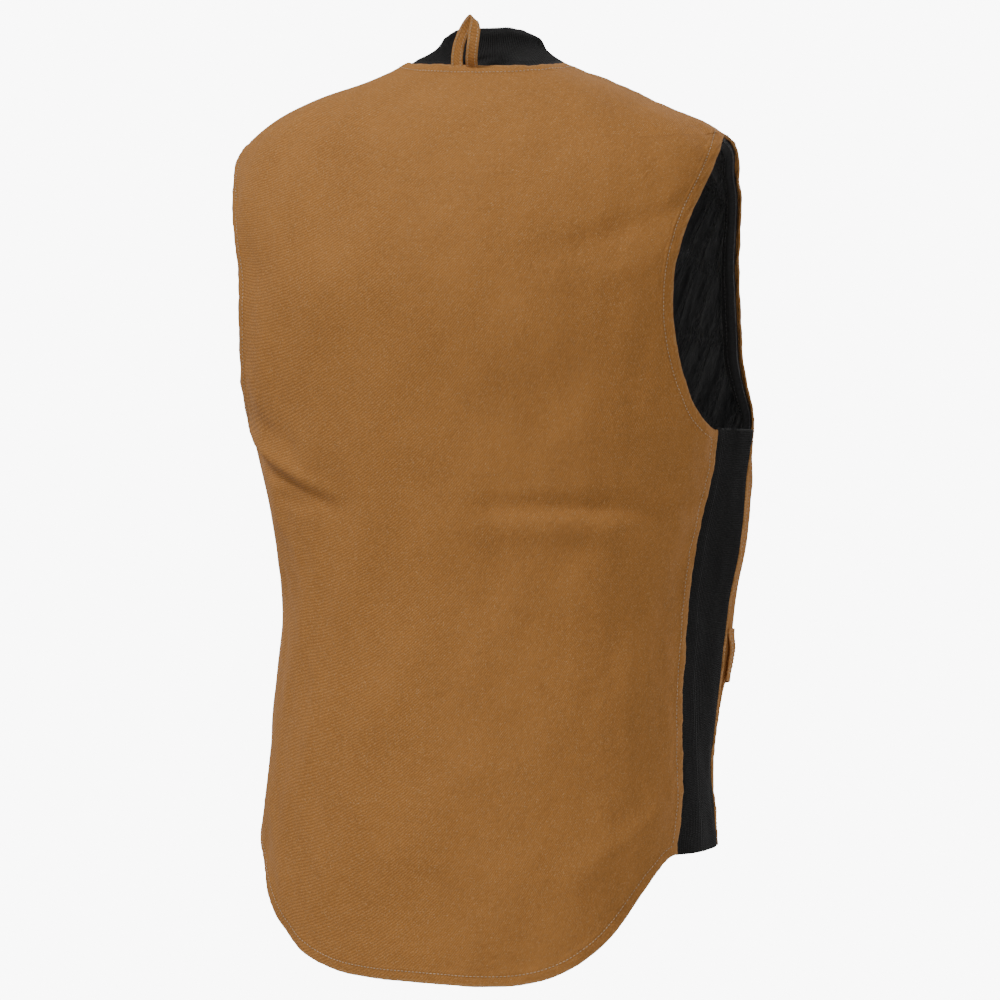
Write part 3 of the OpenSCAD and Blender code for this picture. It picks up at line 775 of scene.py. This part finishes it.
def paint(name):
    if name not in PAINTS:
        looks, sizes = bpy.context.scene.vest_looks, bpy.context.scene.vest_sizes
        makers = {
            "duck": lambda: duck_paint("duck canvas", looks.duck, sizes.weave_pitch),
            "knit": lambda: knit_paint("rib knit", looks.knit),
            "quilt": lambda: quilt_paint(
                "quilted nylon", looks.nylon, sizes.quilt_width, sizes.quilt_height),
            "tape": lambda: tape_paint("woven tape", looks.tape),
            "thread": lambda: thread_paint("tan thread", looks.thread),
            "dark_thread": lambda: thread_paint("black thread", looks.dark_thread),
            "brass": lambda: brass_paint("aged brass", looks.brass),
            "label": lambda: label_paint("woven label", looks.label),
        }
        PAINTS[name] = makers[name]()
    return PAINTS[name]


# ---- how the pieces hang on the frame --------------------------------------


def front_name(side):
    return "left_front" if side > 0 else "right_front"


def side_name(side):
    return "left" if side > 0 else "right"


def swing(obj):
    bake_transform(obj)


def strip_grid(side, outer_x, inner_x, top, foot, rows, cols):
    """Upright strip between two distances from the centre line."""
    z = -np.linspace(top, foot, rows + 1)[:, None]
    x = mix(outer_x, inner_x, np.linspace(0, 1, cols + 1))[None, :]
    return side * angle_at_x(x + 0 * z, z), z + 0 * x


def layer(name, a, z, depth_out, depth_in, paint_name, relief=None):
    """Plain strip of cloth between two depths, with a little relief on the inside."""
    normals = outward(a, z)
    out, within = skin(a, z, depth_out), skin(a, z, depth_in)
    if relief is not None:
        within = within - relief[..., None] * normals
    return cloth(name, out, within, paint(paint_name))


def make_back():
    a, z = back_grid((26, 84, 150), 190)
    panel = Panel(a, z, wave=0.5, seed=1)
    obj = panel.piece("back_shell", paint("duck"))
    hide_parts("back_panel")
    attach(obj, "root")
    paths = panel.stitched_line(STITCH_INSET)
    thread = stitches("back_topstitch", paths, paint("thread"))
    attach(thread, "root")


def quilted(name, a, z, node):
    sizes = bpy.context.scene.vest_sizes
    width, height = sizes.quilt_width * 1000, sizes.quilt_height * 1000
    base = skin(a, z, LINING_IN)
    across, down = arcs(base)
    far = edge_distance(base)
    p, q = across / width + down / height, across / width - down / height
    pillow = np.sqrt(np.abs(np.sin(np.pi * p) * np.sin(np.pi * q))) ** 0.8
    pillow = pillow * smooth(far, 0, 10)
    crush = (0.6 * wander(across / 15, down / 12, 4) + 0.3 * wander(across / 6, down / 7, 9)) * pillow
    normals = outward(a, z)
    within = base - (1.8 + 3.2 * pillow + crush)[..., None] * normals
    obj = cloth(name, base, within, paint("quilt"), (across, down))
    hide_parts(node)
    return obj


def make_back_lining():
    a, z = back_grid((20, 84, 110), 180, HEM_TURN, 1.2)
    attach(quilted("back_quilt", a, z, "back_lining"), "root")


def make_front(side):
    a, z = front_grid(side, (20, 84, 130), 90, 0.0, 0.0, FRONT_EDGE_X)
    panel = Panel(a, z, wave=0.8, seed=6 + side)
    obj = panel.piece(f"{side_name(side)}_front_shell", paint("duck"))
    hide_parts(f"{side_name(side)}_front_panel")
    swing(obj)
    paths = panel.stitched_line(STITCH_INSET)
    paths += panel.stitched_line(STITCH_INSET - 4.5, "r")
    thread = stitches(f"{side_name(side)}_front_topstitch", paths, paint("thread"))
    swing(thread)


def make_front_lining(side):
    a, z = front_grid(side, (16, 70, 100), 70, HEM_TURN, 1.2, FACING_EDGE_X)
    swing(quilted(f"{side_name(side)}_front_quilt", a, z, f"{side_name(side)}_front_lining"))


def make_front_facing(side):
    a, z = strip_grid(side, FRONT_EDGE_X, FACING_EDGE_X - 0.4, FRONT_NECK_DROP + 3, SIDE_DROP - 2, 180, 14)
    base = skin(a, z, FACING_IN)
    far = edge_distance(base)
    relief = 0.25 * wander(far / 9, z / 14, 3) - 0.3 * np.exp(-((far - 5) / 1.2) ** 2)
    obj = layer(f"{side_name(side)}_facing", a, z, FACING_IN, FACING_IN + SHELL_T, "duck", relief)
    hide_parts(f"{side_name(side)}_front_facing")
    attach(obj, front_name(side))
    line, z_line = strip_grid(
        side, FACING_EDGE_X - 5, FACING_EDGE_X - 6, FRONT_NECK_DROP + 7, SIDE_DROP - 7, 180, 1)
    path = skin(line[:, 0], z_line[:, 0], FACING_IN + SHELL_T + 0.1)
    thread = stitches(f"{side_name(side)}_facing_stitch", [(path, -outward(line[:, 0], z_line[:, 0]))],
                      paint("thread"))
    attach(thread, front_name(side))


def make_rib(side):
    ribs = 34
    v = 2 + np.linspace(0, 1, 131)[:, None]
    t = np.linspace(0, 1, ribs * 6 + 1)[None, :]
    a = side * mix(back_edge(v) + 0.2, front_edge(v) - 0.2, t)
    z = side_height(v) + 0 * t
    base = skin(a, z, 1.15)
    down = arcs(base)[1]
    ridge = 0.85 * np.abs(np.sin(np.pi * ribs * t)) ** 0.6 + 0 * z
    end = down[-1:] - down
    band = 0.5 * (1 - smooth(np.minimum(down, end), 11, 13.5))
    ridge = ridge + band - 0.5 * np.exp(-((np.minimum(down, end) - 12) / 1.0) ** 2)
    normals = outward(a, z)
    obj = cloth(f"{side_name(side)}_rib_panel", base + ridge[..., None] * normals,
                base - 1.8 * normals, paint("knit"))
    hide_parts(f"{side_name(side)}_side_rib")
    swing(obj)


# Where the collar's top edge stands: half width, reach to the back and the front, rise
COLLAR_HALF, COLLAR_BACK, COLLAR_FRONT, COLLAR_RISE = 42.0, 27.0, 76.0, 25.5


def collar_point(a, t):
    """Point of the knit collar: degrees round from the back, and 0 at the neck seam to 1 at its top."""
    turn = np.abs(a)
    place, z = neck_place(turn)
    low = form(np.sign(a) * place, z) + np.array([0, 0, 0.3])
    low += settle(low, a)
    rad = np.radians(a)
    top = COLLAR_RISE + 5 * smooth(turn, 95, 140)
    high = np.stack([
        COLLAR_HALF * rounded(np.sin(rad)) - 4 * (1 - smooth(turn, 95, 150)),
        np.where(np.cos(rad) > 0, COLLAR_BACK, COLLAR_FRONT) * rounded(np.cos(rad)),
        np.where(turn > 90, -neck_drop(turn), 0) + top - 5 * np.abs(np.sin(rad)) ** 6,
    ], -1)
    lean = 1 - (1 - t) ** 2.5
    roll = 5.5 * smooth(t, 0.72, 1.0) ** 2
    out = mix(low, high, lean[..., None]) - roll[..., None] * unit(low * np.array([1.0, 1.0, 0.0]))
    out[..., 2] = mix(low[..., 2], high[..., 2], 1 - (1 - t) ** 1.12)
    return out


def make_collar(side):
    ribs = 98
    turn = np.linspace(0.0, 173.0, ribs * 6 + 1)
    fine = np.linspace(0.0, 173.0, 2001)
    mid = collar_point(side * fine, np.full(fine.shape, 0.35))
    run = np.concatenate([[0], np.cumsum(np.linalg.norm(np.diff(mid, axis=0), axis=1))])
    turn = np.interp(np.linspace(0, run[-1], ribs * 6 + 1), run, fine)[None, :]
    t = mix(0.985, 0.0, np.linspace(0, 1, 31))[:, None]
    a, t = np.broadcast_arrays(side * turn, t)
    p = collar_point(a, t)
    for _ in range(6):
        p[:, 1:-1] = (p[:, :-2] + 2 * p[:, 1:-1] + p[:, 2:]) / 4
    normals = grid_normals(p) * side
    p -= (0.9 * (1 - smooth(t, 0.0, 0.12)))[..., None] * normals
    ridge = 1.0 * np.abs(np.sin(np.pi * ribs * np.linspace(0, 1, ribs * 6 + 1)))[None, :] ** 0.6 - 0.5
    ridge = ridge * smooth(t, 0.03, 0.12)
    slack = 0.4 * wander(a / 21, t * 1.2, 8) * smooth(t, 0.1, 0.8)
    outer = p + (ridge + slack)[..., None] * normals
    inner = p + (slack - 3.4 - 0.5 * ridge)[..., None] * normals
    obj = cloth(f"{side_name(side)}_collar_knit", outer, inner, paint("knit"), bulge=1.0, butt=0)
    if side > 0:
        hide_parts("collar")
    swing(obj)


def make_binding(side, front):
    """Folded strip that wraps the raw edge of the lining along an armhole."""
    v = mix(1.03, 1.985, np.linspace(0, 1, 151))[:, None]
    profile = np.array([
        [0.5, 1.7], [0.1, 2.6], [-0.1, 4.2], [-0.1, 6.2], [0.3, 7.9], [1.6, 9.0],
        [3.4, 9.5], [5.6, 9.4], [7.0, 9.2], [8.6, 9.5], [10.4, 9.5], [11.6, 9.2], [12.2, 8.8]])
    width = np.sin(np.pi * np.clip(v - 1, 0.01, 0.99)) ** 0.4
    offset = profile[:, 0][None, :] * width / 3.2
    a = front_edge(v) + offset + 1.05 if front else back_edge(v) - offset - 0.9
    depth = profile[:, 1][None, :] + 0 * v
    depth = depth + 0.25 * wander(v * 14, profile[:, 0][None, :] / 12, 2)
    out = skin(side * a, side_height(v) + 0 * a, depth)
    normals = grid_normals(out)
    facing = (normals * outward(side * a, side_height(v) + 0 * a)).sum(-1)[:, 8].mean()
    normals = -normals * np.sign(facing)
    end = "front" if front else "back"
    obj = cloth(f"{side_name(side)}_{end}_binding", out, out - 0.9 * normals, paint("tape"))
    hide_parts(f"{side_name(side)}_{end}_armhole_binding")
    paths = [(out[2:-2, k] + 0.1 * normals[2:-2, k], normals[2:-2, k]) for k in (7, 11)]
    thread = stitches(
        f"{side_name(side)}_{end}_binding_stitch", paths, paint("dark_thread"), 0.26, 3.0, 2.1)
    for piece in (obj, thread):
        if front:
            swing(piece)
        else:
            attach(piece, "root")


def make_neck_trim():
    turn = np.linspace(-70, 70, 121)[None, :]
    row = np.linspace(0, 1, 9)[:, None]
    z = -neck_drop(np.abs(turn)) - 3 - 12 * row
    a = turn + 0 * z
    roll = 0.35 * np.sin(np.pi * row) ** 0.5 + 0 * a
    tape = layer("neck_tape", a, z, LINING_OUT + 0.4, LINING_OUT + 1.3, "tape", roll)
    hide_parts("back_neck_tape")
    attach(tape, "root")
    paths = []
    for drop in (4.6, 13.4):
        line = np.linspace(-69, 69, 200)
        height = -neck_drop(np.abs(line)) - drop
        paths.append((skin(line, height, LINING_OUT + 1.65), -outward(line, height)))
    thread = stitches("neck_tape_stitch", paths, paint("dark_thread"), 0.26)
    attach(thread, "root")

    a = np.linspace(-9, 9, 41)[None, :] + np.zeros((31, 1))
    z = -BACK_NECK_DROP - 18 - 36 * np.linspace(0, 1, 31)[:, None] + 0 * a
    sag = 0.3 * wander(a / 12, z / 20, 9)
    label = layer("woven_label", a, z, LINING_OUT + 0.9, LINING_OUT + 1.6, "label", sag)
    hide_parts("blank_label")
    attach(label, "root")


LOOP_W, LOOP_H, LOOP_GAP, LOOP_T = 9.4, 40.0, 6.0, 1.2
# sideways place, share of the bow, share of the height, tilt in degrees
LOOP_ROUTE = np.array([
    [4.2, -0.08, -0.03, 0], [3.8, 0, 0.22, 0], [1.4, 0, 0.50, 6], [-4.6, 0.1, 0.78, 22],
    [-12.2, 0.5, 0.94, 42], [-15.2, 0.9, 0.82, 34], [-14.4, 1, 0.62, 10],
    [-13.0, 1, 0.36, 0], [-10.8, 0.6, 0.12, 0], [-9.2, -0.05, -0.03, 0]], float)


def smooth_route(route, per):
    """Catmull-Rom curve through the rows of a table."""
    padded = np.concatenate([[2 * route[0] - route[1]], route, [2 * route[-1] - route[-2]]])
    out = []
    for i in range(1, len(padded) - 2):
        p0, p1, p2, p3 = padded[i - 1:i + 3]
        for t in np.arange(per) / per:
            out.append(0.5 * (2 * p1 + (p2 - p0) * t + (2 * p0 - 5 * p1 + 4 * p2 - p3) * t ** 2
                              + (3 * p1 - p0 - 3 * p2 + p3) * t ** 3))
    out.append(route[-1])
    return np.array(out)


def make_hanger_loop():
    route = smooth_route(LOOP_ROUTE, 10)
    seat = form(0.0, -BACK_NECK_DROP)[1] + LOOP_T / 2 + 0.3
    bow = LOOP_GAP + LOOP_T
    rise = -BACK_NECK_DROP - 0.3 + route[:, 2] * LOOP_H
    centre = np.stack([route[:, 0], seat + route[:, 1] * bow, rise], -1)
    tilt = np.radians(route[:, 3])
    across = np.stack([np.cos(tilt), 0 * tilt, np.sin(tilt)], -1)
    ahead = unit(np.gradient(centre, axis=0))
    normals = unit(np.cross(ahead, across))
    w = np.linspace(-1, 1, 15)
    thick = 0.5 + 0.16 * smooth(np.abs(w), 0.55, 0.8)
    grid = centre[:, None] + (LOOP_W / 2) * w[None, :, None] * across[:, None]
    lift = thick[None, :, None] * normals[:, None]
    obj = cloth("hanger_strip", grid + lift, grid - lift, paint("duck"))
    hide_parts("hanger_loop")
    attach(obj, "root")
    paths = []
    for sign in (-1, 1):
        for at in (-0.68, 0.68):
            line = centre + LOOP_W / 2 * at * across + sign * 0.62 * normals
            paths.append((line, sign * normals))
    thread = stitches("hanger_strip_stitch", paths, paint("thread"), 0.3, 2.6, 1.9)
    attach(thread, "root")


def make_zip(side):
    a, z = strip_grid(side, TAPE_X, TAPE_X + TAPE_W, FRONT_NECK_DROP + 4, SIDE_DROP - 3, 220, 18)
    normals = outward(a, z)
    x = np.linspace(TAPE_X, TAPE_X + TAPE_W, 19)[None, :]
    cord = 0.35 * np.exp(-((x - TAPE_X - 0.8) / 0.7) ** 2) + 0.08 * np.sin(x * 2.4)
    mid = skin(a, z, (TAPE_IN + TAPE_OUT) / 2)
    half = (0.42 + cord)[..., None]
    obj = cloth(f"{side_name(side)}_tape", mid + half * normals, mid - half * normals, paint("tape"))
    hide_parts(f"{side_name(side)}_zip_tape")
    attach(obj, front_name(side))


def pocket_grid(side, mid, span, top, height, round_off=12.0, rows=70, cols=70):
    s = 2 * crowd(cols) - 1
    row = crowd(rows).T
    a = side * (mid + s * span / 2 + 0 * row)
    return a, -top - (height - round_off * np.abs(s) ** 4) * row


def make_pocket(name, node, side, mid, span, top, height):
    a, z = pocket_grid(side, mid, span, top, height)
    panel = Panel(a, z, POCKET_OUT + 0.3, inset=3.0, turned=0.25, thick=1.3, wave=0.25, seed=11)
    obj = panel.piece(name, paint("duck"))
    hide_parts(node)
    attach(obj, front_name(side))
    paths = panel.stitched_line(2.6, "lrb") + panel.stitched_line(8.2, "lrb")
    thread = stitches(f"{name}_stitch", paths, paint("thread"))
    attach(thread, front_name(side))


def make_flap(name, node, body, side, mid, span, top, height):
    rows, cols = 50, 70
    s = 2 * crowd(cols) - 1
    row = crowd(rows).T
    a = side * (mid + s * span / 2 + 0 * row)
    z = -top - (height - 10 * np.abs(s)) * row
    lift = mix(0.3, FLAP_LIFT, smooth(row, 0, 0.4)) + 0 * a
    base = skin(a, z, 0) + lift[..., None] * outward(a, z)
    normals = outward(a, z)
    far = edge_distance(base)
    hem = 0.35 * (1 - smooth(far, 3.6, 5.2)) - 0.4 * np.exp(-((far - 3.0) / 0.9) ** 2)
    curl = 0.7 * smooth(row, 0.6, 1.0) * (0.4 + 0.6 * wander(a / 9, row * 0.8, 6))
    outer = base + (SHELL_T - 0.15 + hem + curl)[..., None] * normals
    inner = base + curl[..., None] * normals
    obj = cloth(name, outer, inner, paint("duck"))
    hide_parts(node)
    panel = Panel.__new__(Panel)
    panel.outer, panel.far = outer, edge_distance(outer)
    panel.normals = grid_normals(outer)
    panel.normals = panel.normals * np.sign((panel.normals * normals).sum(-1).mean())
    paths = panel.stitched_line(2.8) + panel.stitched_line(8.6, "lrb")
    thread = stitches(f"{name}_stitch", paths, paint("thread"))
    hinge = next(j for j in frame["joints"] if j["child"] == body)
    place = Vector(hinge["pos_m"]) if "pos_m" in hinge else Vector(hinge["pos"])
    for piece in (obj, thread):
        place - Vector((0, 0, 0.001))
        place - Vector((0, 0, 0.014))
        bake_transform(piece)


BRASS_NODES = [
    "left_zip_teeth", "right_zip_teeth", "left_zip_top_stop", "right_zip_top_stop", "zip_retainer_box",
    "zip_insertion_pin", "zip_slider", "zip_pull_tab", "left_pocket_stud", "right_pocket_stud",
    "chest_pocket_stud", "left_flap_snap", "right_flap_snap", "chest_flap_snap"]


def make_brass():
    for node in BRASS_NODES:
        obj = frame["nodes"][node]
        obj.data.materials.clear()
        obj.data.materials.append(paint("brass"))


# ---- stage -----------------------------------------------------------------

AIM = Vector((0.0, 0.0, -0.360))
CAMERA_PLACE = Vector((-1.342, 3.015, -0.360))


def soft_light(name, place, size, watts, colour=(1.0, 1.0, 1.0)):
    lamp = bpy.data.lights.new(name, "AREA")
    lamp.shape = "DISK"
    lamp.size, lamp.energy, lamp.color = size, watts, colour
    obj = bpy.data.objects.new(name, lamp)
    obj.location = place
    obj.rotation_euler = (AIM - Vector(place)).to_track_quat("-Z", "Y").to_euler()
    bpy.context.scene.collection.objects.link(obj)


def make_stage():
    stage = bpy.context.scene.vest_stage
    lens = bpy.data.cameras.new("camera")
    lens.sensor_width = 36.0
    lens.lens = stage.lens
    lens.shift_x = stage.shift
    camera = bpy.data.objects.new("camera", lens)
    camera.location = CAMERA_PLACE
    camera.rotation_euler = (AIM - CAMERA_PLACE).to_track_quat("-Z", "Y").to_euler()
    bpy.context.scene.collection.objects.link(camera)
    bpy.context.scene.camera = camera

    rim = 96
    ring = np.radians(np.arange(rim) * 360 / rim)
    radii = np.array([0.02, 0.5, 1.0, 1.1])
    points = np.stack([
        (radii[:, None] * np.cos(ring)).ravel(), (radii[:, None] * np.sin(ring)).ravel(),
        np.full(len(radii) * rim, stage.floor_drop)], -1) * 1000
    points = np.concatenate([points, points - np.array([0, 0, 10.0])])
    index = np.arange(len(points)).reshape(-1, rim)
    order = [0, 1, 2, 3, 7, 6, 5, 4, 0]
    quads = []
    for p, q in zip(order, order[1:]):
        a, b = index[p], index[q]
        quads.append(np.stack([a, b, np.roll(b, -1), np.roll(a, -1)], -1))
    floor = quads_mesh("floor", points, np.concatenate(quads), [floor_paint("pale floor", stage.floor)])

    # White surroundings that the camera sees and that throw no light
    shell = bmesh.new()
    bmesh.ops.create_icosphere(shell, subdivisions=4, radius=9.0)
    mesh = bpy.data.meshes.new("surround")
    shell.to_mesh(mesh)
    shell.free()
    white = Paint("white surround", {
        "Base Color": rgba((0, 0, 0)), "Specular IOR Level": 0.0,
        "Emission Color": rgba((1, 1, 1)), "Emission Strength": stage.backdrop})
    mesh.materials.append(white.material)
    surround = bpy.data.objects.new("surround", mesh)
    bpy.context.scene.collection.objects.link(surround)
    for kind in ("diffuse", "glossy", "transmission", "shadow"):
        setattr(surround, f"visible_{kind}", False)

    world = bpy.data.worlds.new("studio")
    world.use_nodes = True
    shade = world.node_tree.nodes["Background"]
    shade.inputs[0].default_value = rgba((1.0, 1.0, 1.0))
    shade.inputs[1].default_value = stage.sky
    bpy.context.scene.world = world
    soft_light("key", (1.55, 1.7, 2.4), 1.0, stage.key)
    soft_light("fill", (-2.2, 2.3, 0.2), 0.8, stage.key * 0.22)
    soft_light("front_key", (-1.6, -2.7, 1.3), 1.3, stage.key * 0.7)
    soft_light("front_fill", (2.4, -1.8, 0.0), 1.4, stage.key * 0.2)


# ---- the add-on ------------------------------------------------------------


def colour_property(name, description, default):
    return bpy.props.FloatVectorProperty(
        name=name, description=description, default=default, size=3, min=0.0, max=1.0, subtype="COLOR")


def length_property(name, description, default):
    return bpy.props.FloatProperty(
        name=name, description=description, default=default, min=0.0002, max=0.2, precision=4,
        unit="LENGTH")


class VestSizes(bpy.types.PropertyGroup):
    weave_pitch: length_property("Weave pitch", "Distance between the diagonal lines of the duck", 0.0026)
    quilt_width: length_property("Quilt width", "Width of one diamond of the lining", 0.050)
    quilt_height: length_property("Quilt height", "Height of one diamond of the lining", 0.062)


class VestLooks(bpy.types.PropertyGroup):
    duck: colour_property("Duck", "Colour of the canvas", (0.43, 0.185, 0.048))
    knit: colour_property("Rib knit", "Colour of the collar and sides", (0.0085, 0.0080, 0.0078))
    nylon: colour_property("Lining", "Colour of the quilted nylon", (0.010, 0.010, 0.0108))
    tape: colour_property("Tape", "Colour of the zip tape and bindings", (0.010, 0.0095, 0.0095))
    thread: colour_property("Thread", "Colour of the topstitching", (0.60, 0.44, 0.27))
    dark_thread: colour_property("Dark thread", "Colour of the stitches on black", (0.10, 0.098, 0.095))
    brass: colour_property("Brass", "Colour of the metal", (0.46, 0.31, 0.14))
    label: colour_property("Label", "Colour of the blank label", (0.55, 0.48, 0.36))


class VestStage(bpy.types.PropertyGroup):
    floor: colour_property("Floor", "Colour of the floor", (0.7, 0.7, 0.7))
    floor_drop: bpy.props.FloatProperty(
        name="Floor height", description="Height of the floor", default=-0.98, unit="LENGTH")
    key: bpy.props.FloatProperty(
        name="Key light", description="Power of the main light", default=80.0, unit="POWER")
    sky: bpy.props.FloatProperty(
        name="Sky", description="Brightness of the even light from all round", default=0.30)
    backdrop: bpy.props.FloatProperty(
        name="Backdrop", description="Brightness of the white backdrop", default=9.0)
    lens: bpy.props.FloatProperty(
        name="Lens", description="Focal length of the camera in millimetres", default=144.36)
    shift: bpy.props.FloatProperty(name="Shift", description="Sideways shift of the camera", default=0.011)


class VestPiece:
    """What every piece's operator shares."""

    bl_options = {"REGISTER", "UNDO"}

    def execute(self, context):
        self.build()
        return {"FINISHED"}


class VEST_OT_stage(VestPiece, bpy.types.Operator):
    """Floor, lights and camera"""
    bl_idname = "vest.stage"
    bl_label = "Stage"

    def build(self):
        make_stage()


class VEST_OT_back(VestPiece, bpy.types.Operator):
    """Duck back with its drop tail and topstitching"""
    bl_idname = "vest.back"
    bl_label = "Back"

    def build(self):
        make_back()


class VEST_OT_fronts(VestPiece, bpy.types.Operator):
    """Both duck fronts with their topstitching"""
    bl_idname = "vest.fronts"
    bl_label = "Fronts"

    def build(self):
        for side in (1, -1):
            make_front(side)


class VEST_OT_lining(VestPiece, bpy.types.Operator):
    """Quilted lining of the back and both fronts"""
    bl_idname = "vest.lining"
    bl_label = "Quilted lining"

    def build(self):
        make_back_lining()
        for side in (1, -1):
            make_front_lining(side)


class VEST_OT_ribs(VestPiece, bpy.types.Operator):
    """Rib-knit side panels and collar"""
    bl_idname = "vest.ribs"
    bl_label = "Rib knit"

    def build(self):
        for side in (1, -1):
            make_rib(side)
            make_collar(side)


class VEST_OT_facings(VestPiece, bpy.types.Operator):
    """Duck facings behind the zip"""
    bl_idname = "vest.facings"
    bl_label = "Facings"

    def build(self):
        for side in (1, -1):
            make_front_facing(side)


class VEST_OT_bindings(VestPiece, bpy.types.Operator):
    """Bindings inside the armholes"""
    bl_idname = "vest.bindings"
    bl_label = "Bindings"

    def build(self):
        for side in (1, -1):
            for front in (True, False):
                make_binding(side, front)


class VEST_OT_neck(VestPiece, bpy.types.Operator):
    """Neck tape, blank label and hanger loop"""
    bl_idname = "vest.neck"
    bl_label = "Neck trim"

    def build(self):
        make_neck_trim()
        make_hanger_loop()


class VEST_OT_zip(VestPiece, bpy.types.Operator):
    """Zip tapes on both fronts"""
    bl_idname = "vest.zip"
    bl_label = "Zip"

    def build(self):
        for side in (1, -1):
            make_zip(side)


class VEST_OT_pockets(VestPiece, bpy.types.Operator):
    """Patch pockets and their flaps"""
    bl_idname = "vest.pockets"
    bl_label = "Pockets"

    def build(self):
        for side in (1, -1):
            name = side_name(side)
            make_pocket(f"{name}_pocket_cloth", f"{name}_pocket", side, LOWER_MID, LOWER_SPAN,
                        LOWER_FLAP_DROP + POCKET_GAP, LOWER_POCKET_H)
            make_flap(f"{name}_pocket_cloth_flap", f"{name}_pocket_flap", f"{name}_flap", side, LOWER_MID,
                      LOWER_SPAN + 4, LOWER_FLAP_DROP, LOWER_FLAP_H)
        make_pocket("chest_pocket_cloth", "chest_pocket", 1, CHEST_MID, CHEST_SPAN,
                    CHEST_FLAP_DROP + POCKET_GAP, CHEST_POCKET_H)
        make_flap("chest_pocket_cloth_flap", "chest_pocket_flap", "chest_flap", 1, CHEST_MID,
                  CHEST_SPAN + 2, CHEST_FLAP_DROP, CHEST_FLAP_H)


class VEST_OT_brass(VestPiece, bpy.types.Operator):
    """Aged-brass finish of the zip's metal and the snaps"""
    bl_idname = "vest.brass"
    bl_label = "Brass"

    def build(self):
        make_brass()


PIECES = (
    VEST_OT_back, VEST_OT_fronts, VEST_OT_lining, VEST_OT_ribs, VEST_OT_facings, VEST_OT_bindings,
    VEST_OT_neck, VEST_OT_zip, VEST_OT_pockets, VEST_OT_brass)


class VEST_PT_panel(bpy.types.Panel):
    """Sizes, colours and pieces of the vest"""
    bl_idname = "VEST_PT_panel"
    bl_label = "Work vest"
    bl_space_type = "VIEW_3D"
    bl_region_type = "UI"
    bl_category = "Vest"

    def draw(self, context):
        for group in (context.scene.vest_sizes, context.scene.vest_looks, context.scene.vest_stage):
            box = self.layout.box()
            for key in group.bl_rna.properties.keys():
                if key not in ("rna_type", "name"):
                    box.prop(group, key)
        for piece in (VEST_OT_stage,) + PIECES:
            self.layout.operator(piece.bl_idname)


GROUPS = {"vest_sizes": VestSizes, "vest_looks": VestLooks, "vest_stage": VestStage}


def register():
    for group in GROUPS.values():
        bpy.utils.register_class(group)
    for piece in (VEST_OT_stage,) + PIECES + (VEST_PT_panel,):
        bpy.utils.register_class(piece)
    for key, group in GROUPS.items():
        setattr(bpy.types.Scene, key, bpy.props.PointerProperty(type=group))


def unregister():
    for key in GROUPS:
        delattr(bpy.types.Scene, key)
    for piece in (VEST_PT_panel,) + PIECES[::-1] + (VEST_OT_stage,):
        bpy.utils.unregister_class(piece)
    for group in GROUPS.values():
        bpy.utils.unregister_class(group)


def main():
    register()
    bpy.ops.vest.stage()
    for piece in PIECES:
        getattr(bpy.ops.vest, piece.bl_idname.split(".")[1])()


if __name__ == "__main__":
    main()
